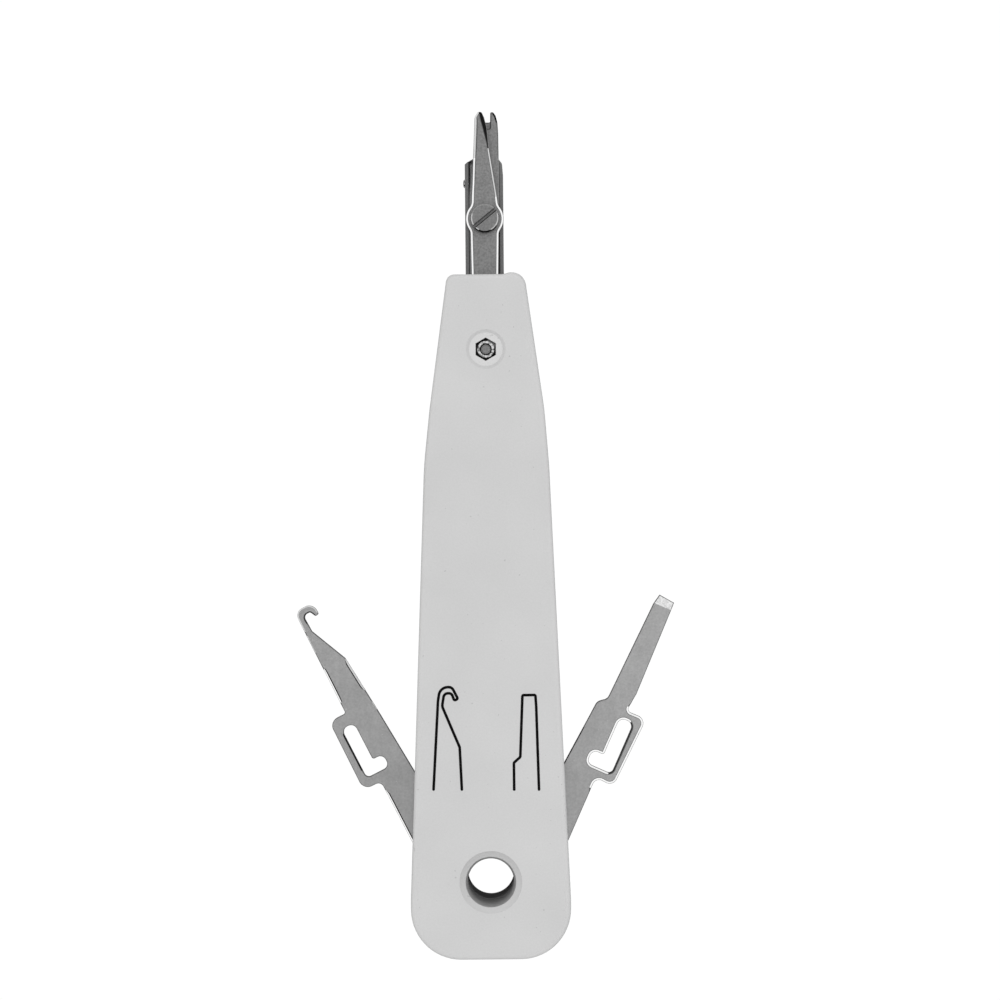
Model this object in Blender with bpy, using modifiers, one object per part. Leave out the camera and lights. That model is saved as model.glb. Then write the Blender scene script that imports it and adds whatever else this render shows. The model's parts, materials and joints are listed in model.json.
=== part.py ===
"""Punch down tool with a spring-loaded scissor head, a fold-out wire hook and a fold-out pry blade.

The tool lies on its rear face: +Z is up through the front face, +Y runs along the handle to the
insertion tip, and the origin is on the centre line, half way along the tool, at the rear face.
The named sizes are in millimetres, and every shape is scaled to metres as it is made.
"""

import math

import bmesh
import bpy
from mathutils import Matrix, Vector

MM = 0.001

# Handle: two half shells that meet half way through its thickness
BUTT_Y = -89.25
SHOULDER_Y = 54.25
UPPER_KNEE_Y = 25.5
LOWER_KNEE_Y = 14.0
WIDEST_Y = -76.7
TOP_RIGHT = 8.15
TOP_LEFT = 8.0
UPPER_KNEE_RIGHT = 12.15
UPPER_KNEE_LEFT = 11.9
LOWER_KNEE_RIGHT = 13.03
LOWER_KNEE_LEFT = 13.12
BUTT_RIGHT = 16.8
BUTT_LEFT = 16.65
TOP_RIGHT_R = 3.0
TOP_LEFT_R = 1.8
LIP_X = 5.0
LIP_FOOT_X = 3.8
LIP_RISE = 0.35
KNEE_R = 60.0
BUTT_CORNER_R = 10.5
THICKNESS = 20.0
MID_Z = THICKNESS / 2
EDGE_ROUND = 1.3
WALL = 2.0
PARTING_GAP = 0.3
FIT_GAP = 0.3

# Hanging hole
HOLE_X = 0.1
HOLE_Y = -73.0
HOLE_MID_R = 4.9
HOLE_FACE_R = 5.3
HOLE_DISH_R = 6.55
HOLE_DISH_DEPTH = 0.6
HOLE_RING_R = 7.4

# Pegs that line the shells up below the hanging hole
PEG_X = 9.5
PEG_Y = -80.5
PEG_R = 1.2
PEG_BOSS_R = 2.6
PEG_END_Z = 7.0

# Closing screw and nut
SCREW_Y = 38.2
SCREW_R = 1.0
SCREW_HEAD_R = 1.9
SCREW_HEAD_Z = 0.7
SCREW_HEAD_H = 1.5
NUT_FLATS = 4.0
NUT_Z = 17.3
NUT_H = 1.6
NUT_DISH_R = 4.05
NUT_DISH_DEPTH = 0.4

# Fold-out tools: u is measured outward from the pivot and v along the tool
PIVOT_X = 11.8
PIVOT_Y = -66.0
PIN_R = 1.5
BOSS_R = 3.2
TOOL_THICKNESS = 1.2
TOOL_END_R = 4.1
HOOK_ANGLE = 26.85
BLADE_ANGLE = 24.1
SLOT_HEIGHT = 2.0
SLOT_LOW_Y = -74.3
SLOT_HIGH_Y = -6.5
WASHER_R = 3.0
WASHER_THICKNESS = 0.4

# Head: layers from the rear to the front
CHANNEL_X = -0.1
CHANNEL_HALF = 4.05
CHANNEL_WALL = 0.75
CHANNEL_REAR_Z = 6.4
CHANNEL_FRONT_Z = 10.45
CHANNEL_LOW_Y = 20.6
CHANNEL_TOP_Y = 79.0
INSERTER_Z = 7.55
INSERTER_THICKNESS = 1.4
FIXED_Z = 9.25
CUTTER_THICKNESS = 1.2
MOVING_Z = 10.75
TIP_Y = 89.1
SCISSOR_Y = 66.2
SCISSOR_R = 1.5
SCISSOR_HEAD_R = 3.0
SCISSOR_HEAD_H = 1.5
SCISSOR_SLOT_ANGLE = 40.0
CUTTER_EYE_R = 4.0
JAW_HALF = 2.75
TAIL_TOP_LEFT = 3.03
TAIL_TOP_RIGHT = 2.93
TAIL_LOW_LEFT = 2.72
TAIL_LOW_RIGHT = 2.62
CHANNEL_SHOULDER_Y = 77.95
PLATE_LEFT = -3.3
PLATE_RIGHT = 2.85
PLATE_TOP_LEFT = -2.72
PLATE_TOP_RIGHT = 3.1
PLATE_STEM_HALF = 2.2
PLATE_SHOULDER_Y = 53.0
RIVET_Y = 73.9
RIVET_Z = 8.9

# Motion that the shapes have to allow
STROKE = 5.0
CLOSING_ANGLE = 4.5
CAM_Y = SCISSOR_Y - 19.3
CAM_R = 0.8

# Return spring, its plunger and its seat
SPRING_Z = 9.0
SPRING_MEAN_R = 2.6
SPRING_WIRE_R = 0.4
SPRING_TURNS = 9
SEAT_Y = -10.0
SEAT_THICKNESS = 3.0
COLLAR_Y = 18.0
COLLAR_R = 3.4
ROD_R = 1.5
ROD_END_Y = -14.0
PLUNGER_RIVET_Y = 26.0

ARC_STEP = math.radians(12)
ROUND_SIDES = 32

COLOURS = {
    "shell plastic": ((0.62, 0.62, 0.62), 0.5, 0.0),
    "tool steel": ((0.36, 0.36, 0.37), 0.35, 1.0),
    "head steel": ((0.24, 0.24, 0.25), 0.4, 1.0),
    "bright steel": ((0.6, 0.6, 0.6), 0.25, 1.0),
    "spring steel": ((0.3, 0.3, 0.31), 0.3, 1.0),
    "seat plastic": ((0.5, 0.5, 0.5), 0.6, 0.0),
}


# ---------------------------------------------------------------- scene and collections


def clear_scene():
    for obj in list(bpy.data.objects):
        bpy.data.objects.remove(obj, do_unlink=True)


def new_collection(name):
    collection = bpy.data.collections.new(name)
    bpy.context.scene.collection.children.link(collection)
    return collection


def material(name):
    found = bpy.data.materials.get(name)
    if found:
        return found
    colour, roughness, metallic = COLOURS[name]
    made = bpy.data.materials.new(name)
    made.use_nodes = True
    shader = made.node_tree.nodes["Principled BSDF"]
    shader.inputs["Base Color"].default_value = (*colour, 1.0)
    shader.inputs["Roughness"].default_value = roughness
    shader.inputs["Metallic"].default_value = metallic
    return made


def finish_part(obj, kind):
    """Puts a sub-part in the object's collection, with its own copy of a material."""
    own = material(kind).copy()
    own.name = f"{obj.name} {kind}"
    obj.data.materials.clear()
    obj.data.materials.append(own)
    move_to(obj, PARTS)
    return obj


def finish_cutter(obj):
    obj.hide_render = True
    obj.display_type = "WIRE"
    move_to(obj, CUTTERS)
    return obj


def move_to(obj, collection):
    for old in list(obj.users_collection):
        old.objects.unlink(obj)
    collection.objects.link(obj)


# ---------------------------------------------------------------- shape helpers


def rounded(corners):
    """A closed outline through (x, y, radius) corners, with an arc at each one that has a radius."""
    path = []
    for i, (x, y, radius) in enumerate(corners):
        here = Vector((x, y))
        if not radius:
            path.append(here)
            continue
        before = (Vector(corners[i - 1][:2]) - here).normalized()
        after = (Vector(corners[(i + 1) % len(corners)][:2]) - here).normalized()
        half = before.angle(after) / 2
        centre = here + (before + after).normalized() * (radius / math.sin(half))
        spoke = here + before * (radius / math.tan(half)) - centre
        turn = math.copysign(math.pi - 2 * half, before.y * after.x - before.x * after.y)
        steps = max(2, math.ceil(abs(turn) / ARC_STEP))
        for k in range(steps + 1):
            path.append(centre + Matrix.Rotation(turn * k / steps, 2) @ spoke)
    return path


def circle(x, y, radius, sides=ROUND_SIDES):
    spots = [2 * math.pi * k / sides for k in range(sides)]
    return [Vector((x + radius * math.cos(a), y + radius * math.sin(a))) for a in spots]


def arc(x, y, radius, start, end):
    """Points on a circle from the start angle to the end angle, both in degrees."""
    steps = max(2, math.ceil(math.radians(abs(end - start)) / ARC_STEP))
    spots = [math.radians(start + (end - start) * k / steps) for k in range(steps + 1)]
    return [Vector((x + radius * math.cos(a), y + radius * math.sin(a))) for a in spots]


def mesh_object(name, mesh):
    obj = bpy.data.objects.new(name, mesh)
    bpy.context.scene.collection.objects.link(obj)
    return obj


def shade(obj, angle=35.0):
    obj.data.shade_smooth()
    obj.data.set_sharp_from_angle(angle=math.radians(angle))


def as_mesh(curve_obj):
    """Replaces a curve object by a mesh object with the same name and welded caps."""
    bpy.context.view_layer.update()
    evaluated = curve_obj.evaluated_get(bpy.context.evaluated_depsgraph_get())
    mesh = bpy.data.meshes.new_from_object(evaluated)
    bm = bmesh.new()
    bm.from_mesh(mesh)
    bmesh.ops.remove_doubles(bm, verts=bm.verts, dist=0.002 * MM)
    bmesh.ops.recalc_face_normals(bm, faces=bm.faces)
    bm.to_mesh(mesh)
    bm.free()
    name = curve_obj.name
    place = curve_obj.matrix_world.copy()
    bpy.data.objects.remove(curve_obj, do_unlink=True)
    obj = mesh_object(name, mesh)
    obj.matrix_world = place
    shade(obj)
    return obj


def plate(name, outlines, low_z, high_z, edge=0.0, at=(0.0, 0.0), turn=0.0):
    """A flat piece: the first outline is its edge and the others are holes in it."""
    curve = bpy.data.curves.new(name, "CURVE")
    curve.dimensions = "2D"
    curve.fill_mode = "BOTH"
    curve.extrude = ((high_z - low_z) / 2 - edge) * MM
    curve.bevel_depth = edge * MM
    curve.bevel_resolution = 2
    curve.offset = -edge * MM
    for outline in outlines:
        spline = curve.splines.new("POLY")
        spline.points.add(len(outline) - 1)
        spline.use_cyclic_u = True
        for point, spot in zip(spline.points, outline):
            point.co = (spot.x * MM, spot.y * MM, 0.0, 1.0)
    obj = bpy.data.objects.new(name, curve)
    bpy.context.scene.collection.objects.link(obj)
    obj.location = Vector((at[0], at[1], (low_z + high_z) / 2)) * MM
    obj.rotation_euler = (0.0, 0.0, math.radians(turn))
    return as_mesh(obj)


def box(name, low, high):
    bm = bmesh.new()
    bmesh.ops.create_cube(bm, size=1.0)
    size = Vector(high) - Vector(low)
    bmesh.ops.scale(bm, vec=size * MM, verts=bm.verts)
    mesh = bpy.data.meshes.new(name)
    bm.to_mesh(mesh)
    bm.free()
    obj = mesh_object(name, mesh)
    obj.location = (Vector(low) + Vector(high)) / 2 * MM
    return obj


def turned(name, profile, at, axis="Z", sides=ROUND_SIDES):
    """A turned piece from (radius, height) pairs, given from the top down its outer side.

    With axis Y the heights run along +Y, and with axis X along +X.
    """
    bm = bmesh.new()
    spots = [bm.verts.new((r * MM, 0.0, h * MM)) for r, h in profile]
    for first, second in zip(spots, spots[1:]):
        bm.edges.new((first, second))
    mesh = bpy.data.meshes.new(name)
    bm.to_mesh(mesh)
    bm.free()
    obj = mesh_object(name, mesh)
    obj.location = Vector(at) * MM
    tilt = {"Z": (0.0, 0.0), "Y": (-math.pi / 2, 0.0), "X": (0.0, math.pi / 2)}[axis]
    obj.rotation_euler = (tilt[0], tilt[1], 0.0)
    screw = obj.modifiers.new("turn", "SCREW")
    screw.steps = sides
    screw.render_steps = sides
    screw.use_merge_vertices = True
    screw.merge_threshold = 0.00001
    screw.use_smooth_shade = True
    return obj


def rod(name, radius, low, high, at, axis="Z", sides=ROUND_SIDES, edge=0.0):
    """A plain round bar between two heights on an axis, with its ends chamfered by edge."""
    profile = [(0.0, high), (radius - edge, high), (radius, high - edge)]
    profile += [(radius, low + edge), (radius - edge, low), (0.0, low)]
    if not edge:
        profile = [(0.0, high), (radius, high), (radius, low), (0.0, low)]
    return turned(name, profile, at, axis, sides)


def boolean(obj, operation, others):
    """Cuts, joins or intersects obj with other objects, several of them in one step."""
    step = obj.modifiers.new(operation.lower(), "BOOLEAN")
    step.operation = operation
    step.solver = "EXACT"
    for other in others:
        finish_cutter(other)
    if len(others) == 1:
        step.object = others[0]
        return obj
    group = bpy.data.collections.new(f"{obj.name} {operation.lower()}")
    CUTTERS.children.link(group)
    for other in others:
        move_to(other, group)
    step.operand_type = "COLLECTION"
    step.collection = group
    return obj


def cut(obj, *others):
    return boolean(obj, "DIFFERENCE", others)


def join(obj, *others):
    return boolean(obj, "UNION", others)


# ---------------------------------------------------------------- handle shells


def handle_outline(inset=0.0):
    """The handle seen from the front, or the same shape inset by a wall."""
    top = SHOULDER_Y - inset
    rest = top - LIP_RISE
    right = [
        (TOP_RIGHT - inset, top, max(TOP_RIGHT_R - inset, 0.4)),
        (UPPER_KNEE_RIGHT - inset, UPPER_KNEE_Y, KNEE_R),
        (LOWER_KNEE_RIGHT - inset, LOWER_KNEE_Y, KNEE_R),
        (BUTT_RIGHT - inset, WIDEST_Y, 0.0),
        (BUTT_RIGHT - inset, BUTT_Y + inset, BUTT_CORNER_R - inset),
    ]
    left = [
        (inset - BUTT_LEFT, BUTT_Y + inset, BUTT_CORNER_R - inset),
        (inset - BUTT_LEFT, WIDEST_Y, 0.0),
        (inset - LOWER_KNEE_LEFT, LOWER_KNEE_Y, KNEE_R),
        (inset - UPPER_KNEE_LEFT, UPPER_KNEE_Y, KNEE_R),
        (inset - TOP_LEFT, rest, max(TOP_LEFT_R - inset, 0.4)),
    ]
    lip = [(LIP_FOOT_X, rest, 0.8), (LIP_X, top, 0.8)]
    return rounded(right + left + lip)


def half_blank(name, low_z, high_z):
    """One half of the solid handle form, between two heights."""
    blank = plate(name, [handle_outline()], 0.0, THICKNESS, edge=EDGE_ROUND)
    keep = box(f"{name}_half", (-30.0, BUTT_Y - 5, low_z), (30.0, SHOULDER_Y + 5, high_z))
    boolean(blank, "INTERSECT", [keep])
    inside = plate(f"{name}_cavity", [handle_outline(WALL)], WALL, THICKNESS - WALL)
    return cut(blank, inside)


def hanging_hole_cutter(name):
    profile = [
        (0.0, THICKNESS + 1),
        (HOLE_DISH_R, THICKNESS + 1),
        (HOLE_DISH_R, THICKNESS),
        (HOLE_FACE_R, THICKNESS - HOLE_DISH_DEPTH),
        (HOLE_MID_R, MID_Z),
        (HOLE_FACE_R, HOLE_DISH_DEPTH),
        (HOLE_DISH_R, 0.0),
        (HOLE_DISH_R, -1.0),
        (0.0, -1.0),
    ]
    return turned(name, profile, (HOLE_X, HOLE_Y, 0.0), sides=48)


def side_slot_cutters(name):
    """The slots in both side walls that the fold-out tools swing through."""
    low = MID_Z - SLOT_HEIGHT / 2
    high = MID_Z + SLOT_HEIGHT / 2
    right = box(f"{name}_right_slot", (10.0, SLOT_LOW_Y, low), (22.0, SLOT_HIGH_Y, high))
    left = box(f"{name}_left_slot", (-22.0, SLOT_LOW_Y, low), (-10.0, SLOT_HIGH_Y, high))
    return right, left


def head_window_cutter(name):
    half = CHANNEL_HALF + 0.6
    low = (CHANNEL_X - half, SHOULDER_Y - 6, CHANNEL_REAR_Z - 0.5)
    high = (CHANNEL_X + half, SHOULDER_Y + 6, MOVING_Z + CUTTER_THICKNESS + 0.45)
    return box(name, low, high)


def guide_rails(name, low_z, high_z):
    """Two long ribs, one on each side of the head channel."""
    near = CHANNEL_HALF + 0.4
    far = near + 1.2
    rails = []
    for label, side in (("right", 1), ("left", -1)):
        ends = sorted((CHANNEL_X + side * near, CHANNEL_X + side * far))
        low = (ends[0], 24.0, low_z)
        high = (ends[1], SHOULDER_Y - 1, high_z)
        rails.append(box(f"{name}_{label}_rail", low, high))
    return rails


def pivot_spots():
    return (("hook", -PIVOT_X), ("blade", PIVOT_X))


def seat_rib(name, low_z, high_z):
    top = SEAT_Y - SEAT_THICKNESS - FIT_GAP
    return box(name, (-7.5, top - 2, low_z), (7.5, top, high_z))


def rear_shell():
    inner_z = WALL - 0.8
    top_z = MID_Z - PARTING_GAP / 2
    rib_z = top_z - 0.2
    boss_z = MID_Z - TOOL_THICKNESS / 2 - FIT_GAP - 0.15
    bed = (CHANNEL_X - 3.9, 24.5, inner_z), (CHANNEL_X + 3.9, 51.0, CHANNEL_REAR_Z - FIT_GAP)
    adds = guide_rails("rear", inner_z, rib_z)
    adds += [
        box("rear_channel_bed", *bed),
        seat_rib("rear_seat_rib", inner_z, SPRING_Z - ROD_R - 0.7),
        rod("rear_hole_ring", HOLE_RING_R, inner_z, top_z, (HOLE_X, HOLE_Y, 0.0), sides=48),
    ]
    cuts = [hanging_hole_cutter("rear_hole"), *side_slot_cutters("rear")]
    for label, x in pivot_spots():
        spot = (x, PIVOT_Y, 0.0)
        adds.append(rod(f"rear_{label}_boss", BOSS_R, inner_z, boss_z, spot))
        cuts.append(rod(f"rear_{label}_bore", PIN_R + FIT_GAP, WALL, boss_z + 1, spot, sides=24))
    for label, side in (("left", -1), ("right", 1)):
        spot = (side * PEG_X, PEG_Y, 0.0)
        adds.append(rod(f"rear_{label}_socket", PEG_BOSS_R, inner_z, rib_z, spot, sides=24))
        bore = rod(f"rear_{label}_socket_bore", PEG_R + 0.4, 5.0, top_z + 1, spot, sides=24)
        cuts.append(bore)
    spot = (0.0, SCREW_Y, 0.0)
    seat_z = SCREW_HEAD_Z + SCREW_HEAD_H + FIT_GAP
    cuts += [
        head_window_cutter("rear_window"),
        rod("rear_screw_bore", SCREW_R + FIT_GAP, 1.0, MID_Z, spot, sides=24),
        rod("rear_counterbore", SCREW_HEAD_R + 0.4, -1.0, seat_z, spot),
    ]
    shell = half_blank("rear_shell", -1.0, top_z)
    join(shell, *adds)
    cut(shell, *cuts)
    shade(shell)
    return finish_part(shell, "shell plastic")


def shell_peg(name, x, low_z, inner_z):
    """A stepped peg on the front shell that enters a socket in the rear one."""
    profile = [(0.0, inner_z), (PEG_BOSS_R, inner_z), (PEG_BOSS_R, low_z)]
    profile += [(PEG_R, low_z), (PEG_R, PEG_END_Z), (0.0, PEG_END_Z)]
    return turned(name, profile, (x, PEG_Y, 0.0), sides=24)


def front_shell():
    inner_z = THICKNESS - WALL + 0.8
    low_z = MID_Z + PARTING_GAP / 2
    rib_z = low_z + 0.2
    boss_z = MID_Z + TOOL_THICKNESS / 2 + 2 * FIT_GAP + WASHER_THICKNESS
    over_tail = MOVING_Z + CUTTER_THICKNESS + 0.35
    screw_spot = (0.0, SCREW_Y, 0.0)
    cam_spot = (0.0, CAM_Y, 0.0)
    pad = (CHANNEL_X - 3.9, 24.5, CHANNEL_FRONT_Z + FIT_GAP), (CHANNEL_X + 3.9, 33.0, inner_z)
    adds = guide_rails("front", rib_z, inner_z)
    adds += [
        box("front_channel_pad", *pad),
        seat_rib("front_seat_rib", SPRING_Z + ROD_R + 0.7, inner_z),
        rod("front_hole_ring", HOLE_RING_R, low_z, inner_z, (HOLE_X, HOLE_Y, 0.0), sides=48),
        rod("front_nut_boss", 3.3, over_tail, inner_z, screw_spot),
        rod("front_cam_boss", 2.6, over_tail, inner_z, cam_spot),
    ]
    cuts = [hanging_hole_cutter("front_hole"), *side_slot_cutters("front")]
    for label, x in pivot_spots():
        spot = (x, PIVOT_Y, 0.0)
        adds.append(rod(f"front_{label}_boss", BOSS_R, boss_z - FIT_GAP, inner_z, spot))
        cuts.append(rod(f"front_{label}_relief", WASHER_R + 0.4, MID_Z, boss_z, spot))
        top_z = THICKNESS - WALL
        cuts.append(rod(f"front_{label}_bore", PIN_R + FIT_GAP, MID_Z + 1, top_z, spot, sides=24))
    for label, side in (("left", -1), ("right", 1)):
        adds.append(shell_peg(f"front_{label}_peg", side * PEG_X, rib_z, inner_z))
    pocket_r = (NUT_FLATS + 0.2) / math.sqrt(3)
    dish_z = THICKNESS - NUT_DISH_DEPTH
    cuts += [
        head_window_cutter("front_window"),
        rod("front_cam_bore", CAM_R + FIT_GAP, MID_Z, 17.3, cam_spot, sides=24),
        rod("front_screw_bore", SCREW_R + FIT_GAP, MID_Z, THICKNESS - 1, screw_spot, sides=24),
        hex_bar("front_nut_pocket", pocket_r, NUT_Z - FIT_GAP, THICKNESS + 1, screw_spot),
        rod("front_nut_dish", NUT_DISH_R, dish_z, THICKNESS + 1, screw_spot, sides=48),
    ]
    shell = half_blank("front_shell", low_z, THICKNESS + 1)
    join(shell, *adds)
    cut(shell, *cuts)
    shade(shell)
    return finish_part(shell, "shell plastic")


# ---------------------------------------------------------------- fasteners and pins


def hex_bar(name, corner_r, low_z, high_z, at):
    """A hexagonal bar with two of its corners on the tool's long axis."""
    outline = [Vector((corner_r * math.sin(a), corner_r * math.cos(a)))
               for a in (math.pi * k / 3 for k in range(6))]
    return plate(name, [outline], low_z, high_z, at=at[:2])


def closing_screw():
    end_z = NUT_Z + NUT_H + 0.25
    top_of_head = SCREW_HEAD_Z + SCREW_HEAD_H
    profile = [(0.0, end_z), (SCREW_R - 0.2, end_z), (SCREW_R, end_z - 0.2)]
    profile += [(SCREW_R, top_of_head), (SCREW_HEAD_R, top_of_head)]
    profile += [(SCREW_HEAD_R, SCREW_HEAD_Z + 0.35), (SCREW_HEAD_R - 0.35, SCREW_HEAD_Z)]
    profile += [(0.0, SCREW_HEAD_Z)]
    screw = turned("closing_screw", profile, (0.0, SCREW_Y, 0.0), sides=24)
    for label, size in (("long", (1.25, 0.3)), ("cross", (0.3, 1.2))):
        low = (-size[0], SCREW_Y - size[1], SCREW_HEAD_Z - 1)
        high = (size[0], SCREW_Y + size[1], SCREW_HEAD_Z + 0.8)
        cut(screw, box(f"screw_recess_{label}", low, high))
    return finish_part(screw, "bright steel")


def nut(name, flats, low_z, high_z, bore_r, at, kind):
    piece = hex_bar(name, flats / math.sqrt(3), low_z, high_z, at)
    cut(piece, rod(f"{name}_bore", bore_r, low_z - 1, high_z + 1, (*at[:2], 0.0), sides=24))
    return finish_part(piece, kind)


def closing_nut():
    spot = (0.0, SCREW_Y)
    return nut("closing_nut", NUT_FLATS, NUT_Z, NUT_Z + NUT_H, SCREW_R + 0.2, spot, "bright steel")


def pivot_pin(label, x):
    low = WALL + FIT_GAP
    high = THICKNESS - WALL - FIT_GAP
    pin = rod(f"{label}_pivot_pin", PIN_R, low, high, (x, PIVOT_Y, 0.0), sides=24, edge=0.25)
    return finish_part(pin, "bright steel")


def spring_washer(label, x):
    low = MID_Z + TOOL_THICKNESS / 2 + FIT_GAP
    outlines = [circle(0, 0, WASHER_R), circle(0, 0, PIN_R + FIT_GAP, 24)]
    washer = plate(f"{label}_spring_washer", outlines, low, low + WASHER_THICKNESS, at=(x, PIVOT_Y))
    return finish_part(washer, "spring steel")


def cam_pin():
    pin = rod("cam_pin", CAM_R, MOVING_Z, 17.0, (0.0, CAM_Y, 0.0), sides=24, edge=0.15)
    return finish_part(pin, "bright steel")


# ---------------------------------------------------------------- fold-out tools


def l_slot(foot_u, foot_v, shaft_u, shaft_v, width):
    """The L-shaped thumb slot: a foot that points to the handle and a shaft along the tool."""
    corners = [
        (shaft_u - width / 2, foot_v + width, 0.5),
        (shaft_u - width / 2, shaft_v, 1.4),
        (shaft_u + width / 2, shaft_v, 1.4),
        (shaft_u + width / 2, foot_v, 1.0),
        (foot_u, foot_v, 1.3),
        (foot_u, foot_v + width, 1.3),
    ]
    return rounded(corners)


def tool_tab(outer_u, edge_u, low_v, high_v):
    """The thumb tab that stands out past the tool's outer edge."""
    return [
        (edge_u, low_v, 1.2),
        (outer_u, low_v, 2.0),
        (outer_u - 0.2, high_v, 1.9),
        (edge_u, high_v, 0.5),
    ]


def hook_outline():
    corners = [(4.05, 0.0, 0.0)]
    corners += tool_tab(8.15, 4.05, 16.95, 33.2)
    corners += [
        (3.85, 53.5, 6.0),
        (3.75, 57.25, 1.7),
        (-0.5, 57.25, 1.9),
        (-0.55, 54.5, 0.35),
        (0.25, 54.4, 0.3),
        (0.9, 55.68, 0.45),
        (2.5, 55.68, 0.9),
        (2.4, 51.9, 0.6),
        (-1.25, 43.6, 1.2),
        (-2.35, 30.0, 0.0),
        (-3.3, 15.5, 0.0),
    ]
    return rounded(corners) + arc(0.0, 0.0, TOOL_END_R, 172.0, 352.0)


def blade_outline():
    corners = [(4.14, 0.0, 0.0)]
    corners += [
        (4.14, 16.9, 1.4),
        (8.3, 16.6, 1.7),
        (9.0, 32.5, 1.7),
        (4.5, 32.4, 0.9),
        (4.95, 36.6, 1.2),
        (4.55, 57.45, 0.0),
        (1.05, 57.8, 0.0),
        (0.6, 55.5, 0.0),
        (-0.25, 33.2, 1.5),
        (-2.05, 31.8, 1.8),
        (-2.3, 28.5, 0.0),
        (-3.25, 17.3, 0.0),
    ]
    return rounded(corners) + arc(0.0, 0.0, TOOL_END_R, 172.0, 352.0)


def fold_out_tool(name, outline, slot, side, angle):
    """A sheet steel tool on its pivot: its own X is u, mirrored on the left side."""
    low = MID_Z - TOOL_THICKNESS / 2
    high = MID_Z + TOOL_THICKNESS / 2
    outlines = [outline, slot, circle(0.0, 0.0, PIN_R + FIT_GAP, 24)]
    sided = [[Vector((side * spot.x, spot.y)) for spot in path] for path in outlines]
    at = (side * PIVOT_X, PIVOT_Y)
    tool = plate(name, sided, low, high, at=at, turn=-side * angle)
    return finish_part(tool, "tool steel")


def hook_tool():
    slot = l_slot(1.0, 18.95, 4.9, 30.6, 2.95)
    return fold_out_tool("hook_tool", hook_outline(), slot, -1, HOOK_ANGLE)


def blade_tool():
    slot = l_slot(1.15, 18.9, 5.3, 30.6, 3.1)
    return fold_out_tool("blade_tool", blade_outline(), slot, 1, BLADE_ANGLE)


# ---------------------------------------------------------------- spring-loaded head


def channel_outline(rise):
    """The channel seen from the front, with its head end raised by some millimetres."""
    left = CHANNEL_X - CHANNEL_HALF
    right = CHANNEL_X + CHANNEL_HALF
    shoulder_y = CHANNEL_SHOULDER_Y + rise
    top_y = CHANNEL_TOP_Y + rise
    return rounded([
        (right, CHANNEL_LOW_Y, 0.5),
        (right, shoulder_y - 2.5, 0.0),
        (right - 0.2, shoulder_y, 0.8),
        (right - 1.0, top_y, 0.4),
        (left + 1.7, top_y, 0.3),
        (left + 0.5, shoulder_y + 0.35, 0.5),
        (left, shoulder_y - 0.1, 0.25),
        (left, CHANNEL_LOW_Y, 0.5),
    ])


def head_channel():
    """A U-shaped sheet steel sleeve, open to the front, whose floor is a little longer."""
    left = CHANNEL_X - CHANNEL_HALF
    right = CHANNEL_X + CHANNEL_HALF
    floor_z = CHANNEL_REAR_Z + CHANNEL_WALL
    channel = plate("head_channel", [channel_outline(0.0)], CHANNEL_REAR_Z, CHANNEL_FRONT_Z)
    join(channel, plate("channel_floor", [channel_outline(0.4)], CHANNEL_REAR_Z, floor_z))
    low = (left + CHANNEL_WALL, CHANNEL_LOW_Y - 2, floor_z)
    high = (right - CHANNEL_WALL, CHANNEL_TOP_Y + 2, CHANNEL_FRONT_Z + 1)
    cut(channel, box("channel_inside", low, high))
    stop_r = SCREW_R + FIT_GAP
    slot = arc(0.0, SCREW_Y + STROKE, stop_r, 0.0, 180.0) + arc(0.0, SCREW_Y, stop_r, 180.0, 360.0)
    cut(channel, plate("channel_stroke_slot", [slot], CHANNEL_REAR_Z - 1, floor_z + 1))
    bores = (("pivot", SCISSOR_R + FIT_GAP, SCISSOR_Y), ("rivet", 1.2, PLUNGER_RIVET_Y))
    for label, radius, y in bores:
        bore = rod(f"channel_{label}_bore", radius, CHANNEL_REAR_Z - 1, floor_z + 1, (0.0, y, 0.0))
        cut(channel, bore)
    side = rod("channel_side_bore", 0.75, -2.0, 2.0, (left, RIVET_Y, RIVET_Z), axis="X", sides=24)
    cut(channel, side)
    shade(channel)
    return finish_part(channel, "head steel")


def side_rivet():
    """A domed rivet in the channel's left wall."""
    left = CHANNEL_X - CHANNEL_HALF
    dome = [(0.9 * math.cos(a), -0.12 - 0.33 * math.sin(a))
            for a in (math.pi / 2 * k / 5 for k in range(6))]
    dome[-1] = (0.0, dome[-1][1])
    profile = [(0.0, 0.8), (0.5, 0.8), (0.5, -0.08), (0.9, -0.08)] + dome
    rivet = turned("side_rivet", profile, (left, RIVET_Y, RIVET_Z), axis="X", sides=24)
    return finish_part(rivet, "bright steel")


def plate_outline(low_y, tip):
    """A plate in the channel: a narrow stem, wide shoulders and a tip given by its corners."""
    left = PLATE_LEFT
    right = PLATE_RIGHT
    stem = [
        (left, PLATE_SHOULDER_Y, 0.4),
        (CHANNEL_X - PLATE_STEM_HALF, PLATE_SHOULDER_Y - 1, 0.4),
        (CHANNEL_X - PLATE_STEM_HALF, low_y, 0.4),
        (CHANNEL_X + PLATE_STEM_HALF, low_y, 0.4),
        (CHANNEL_X + PLATE_STEM_HALF, PLATE_SHOULDER_Y - 1, 0.4),
        (right, PLATE_SHOULDER_Y, 0.4),
    ]
    flank = [(right, 65.5, 0.2), (PLATE_TOP_RIGHT, 68.5, 0.2)]
    waist = [(PLATE_TOP_RIGHT, CHANNEL_SHOULDER_Y + 0.6, 0.3), (3.05, CHANNEL_TOP_Y + 0.5, 0.5)]
    neck = [(-1.95, CHANNEL_SHOULDER_Y + 0.45, 0.2), (PLATE_TOP_LEFT, CHANNEL_SHOULDER_Y - 0.05, 0.3)]
    return rounded(stem + flank + waist + tip + neck + [(left, 71.0, 1.0)])


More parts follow.
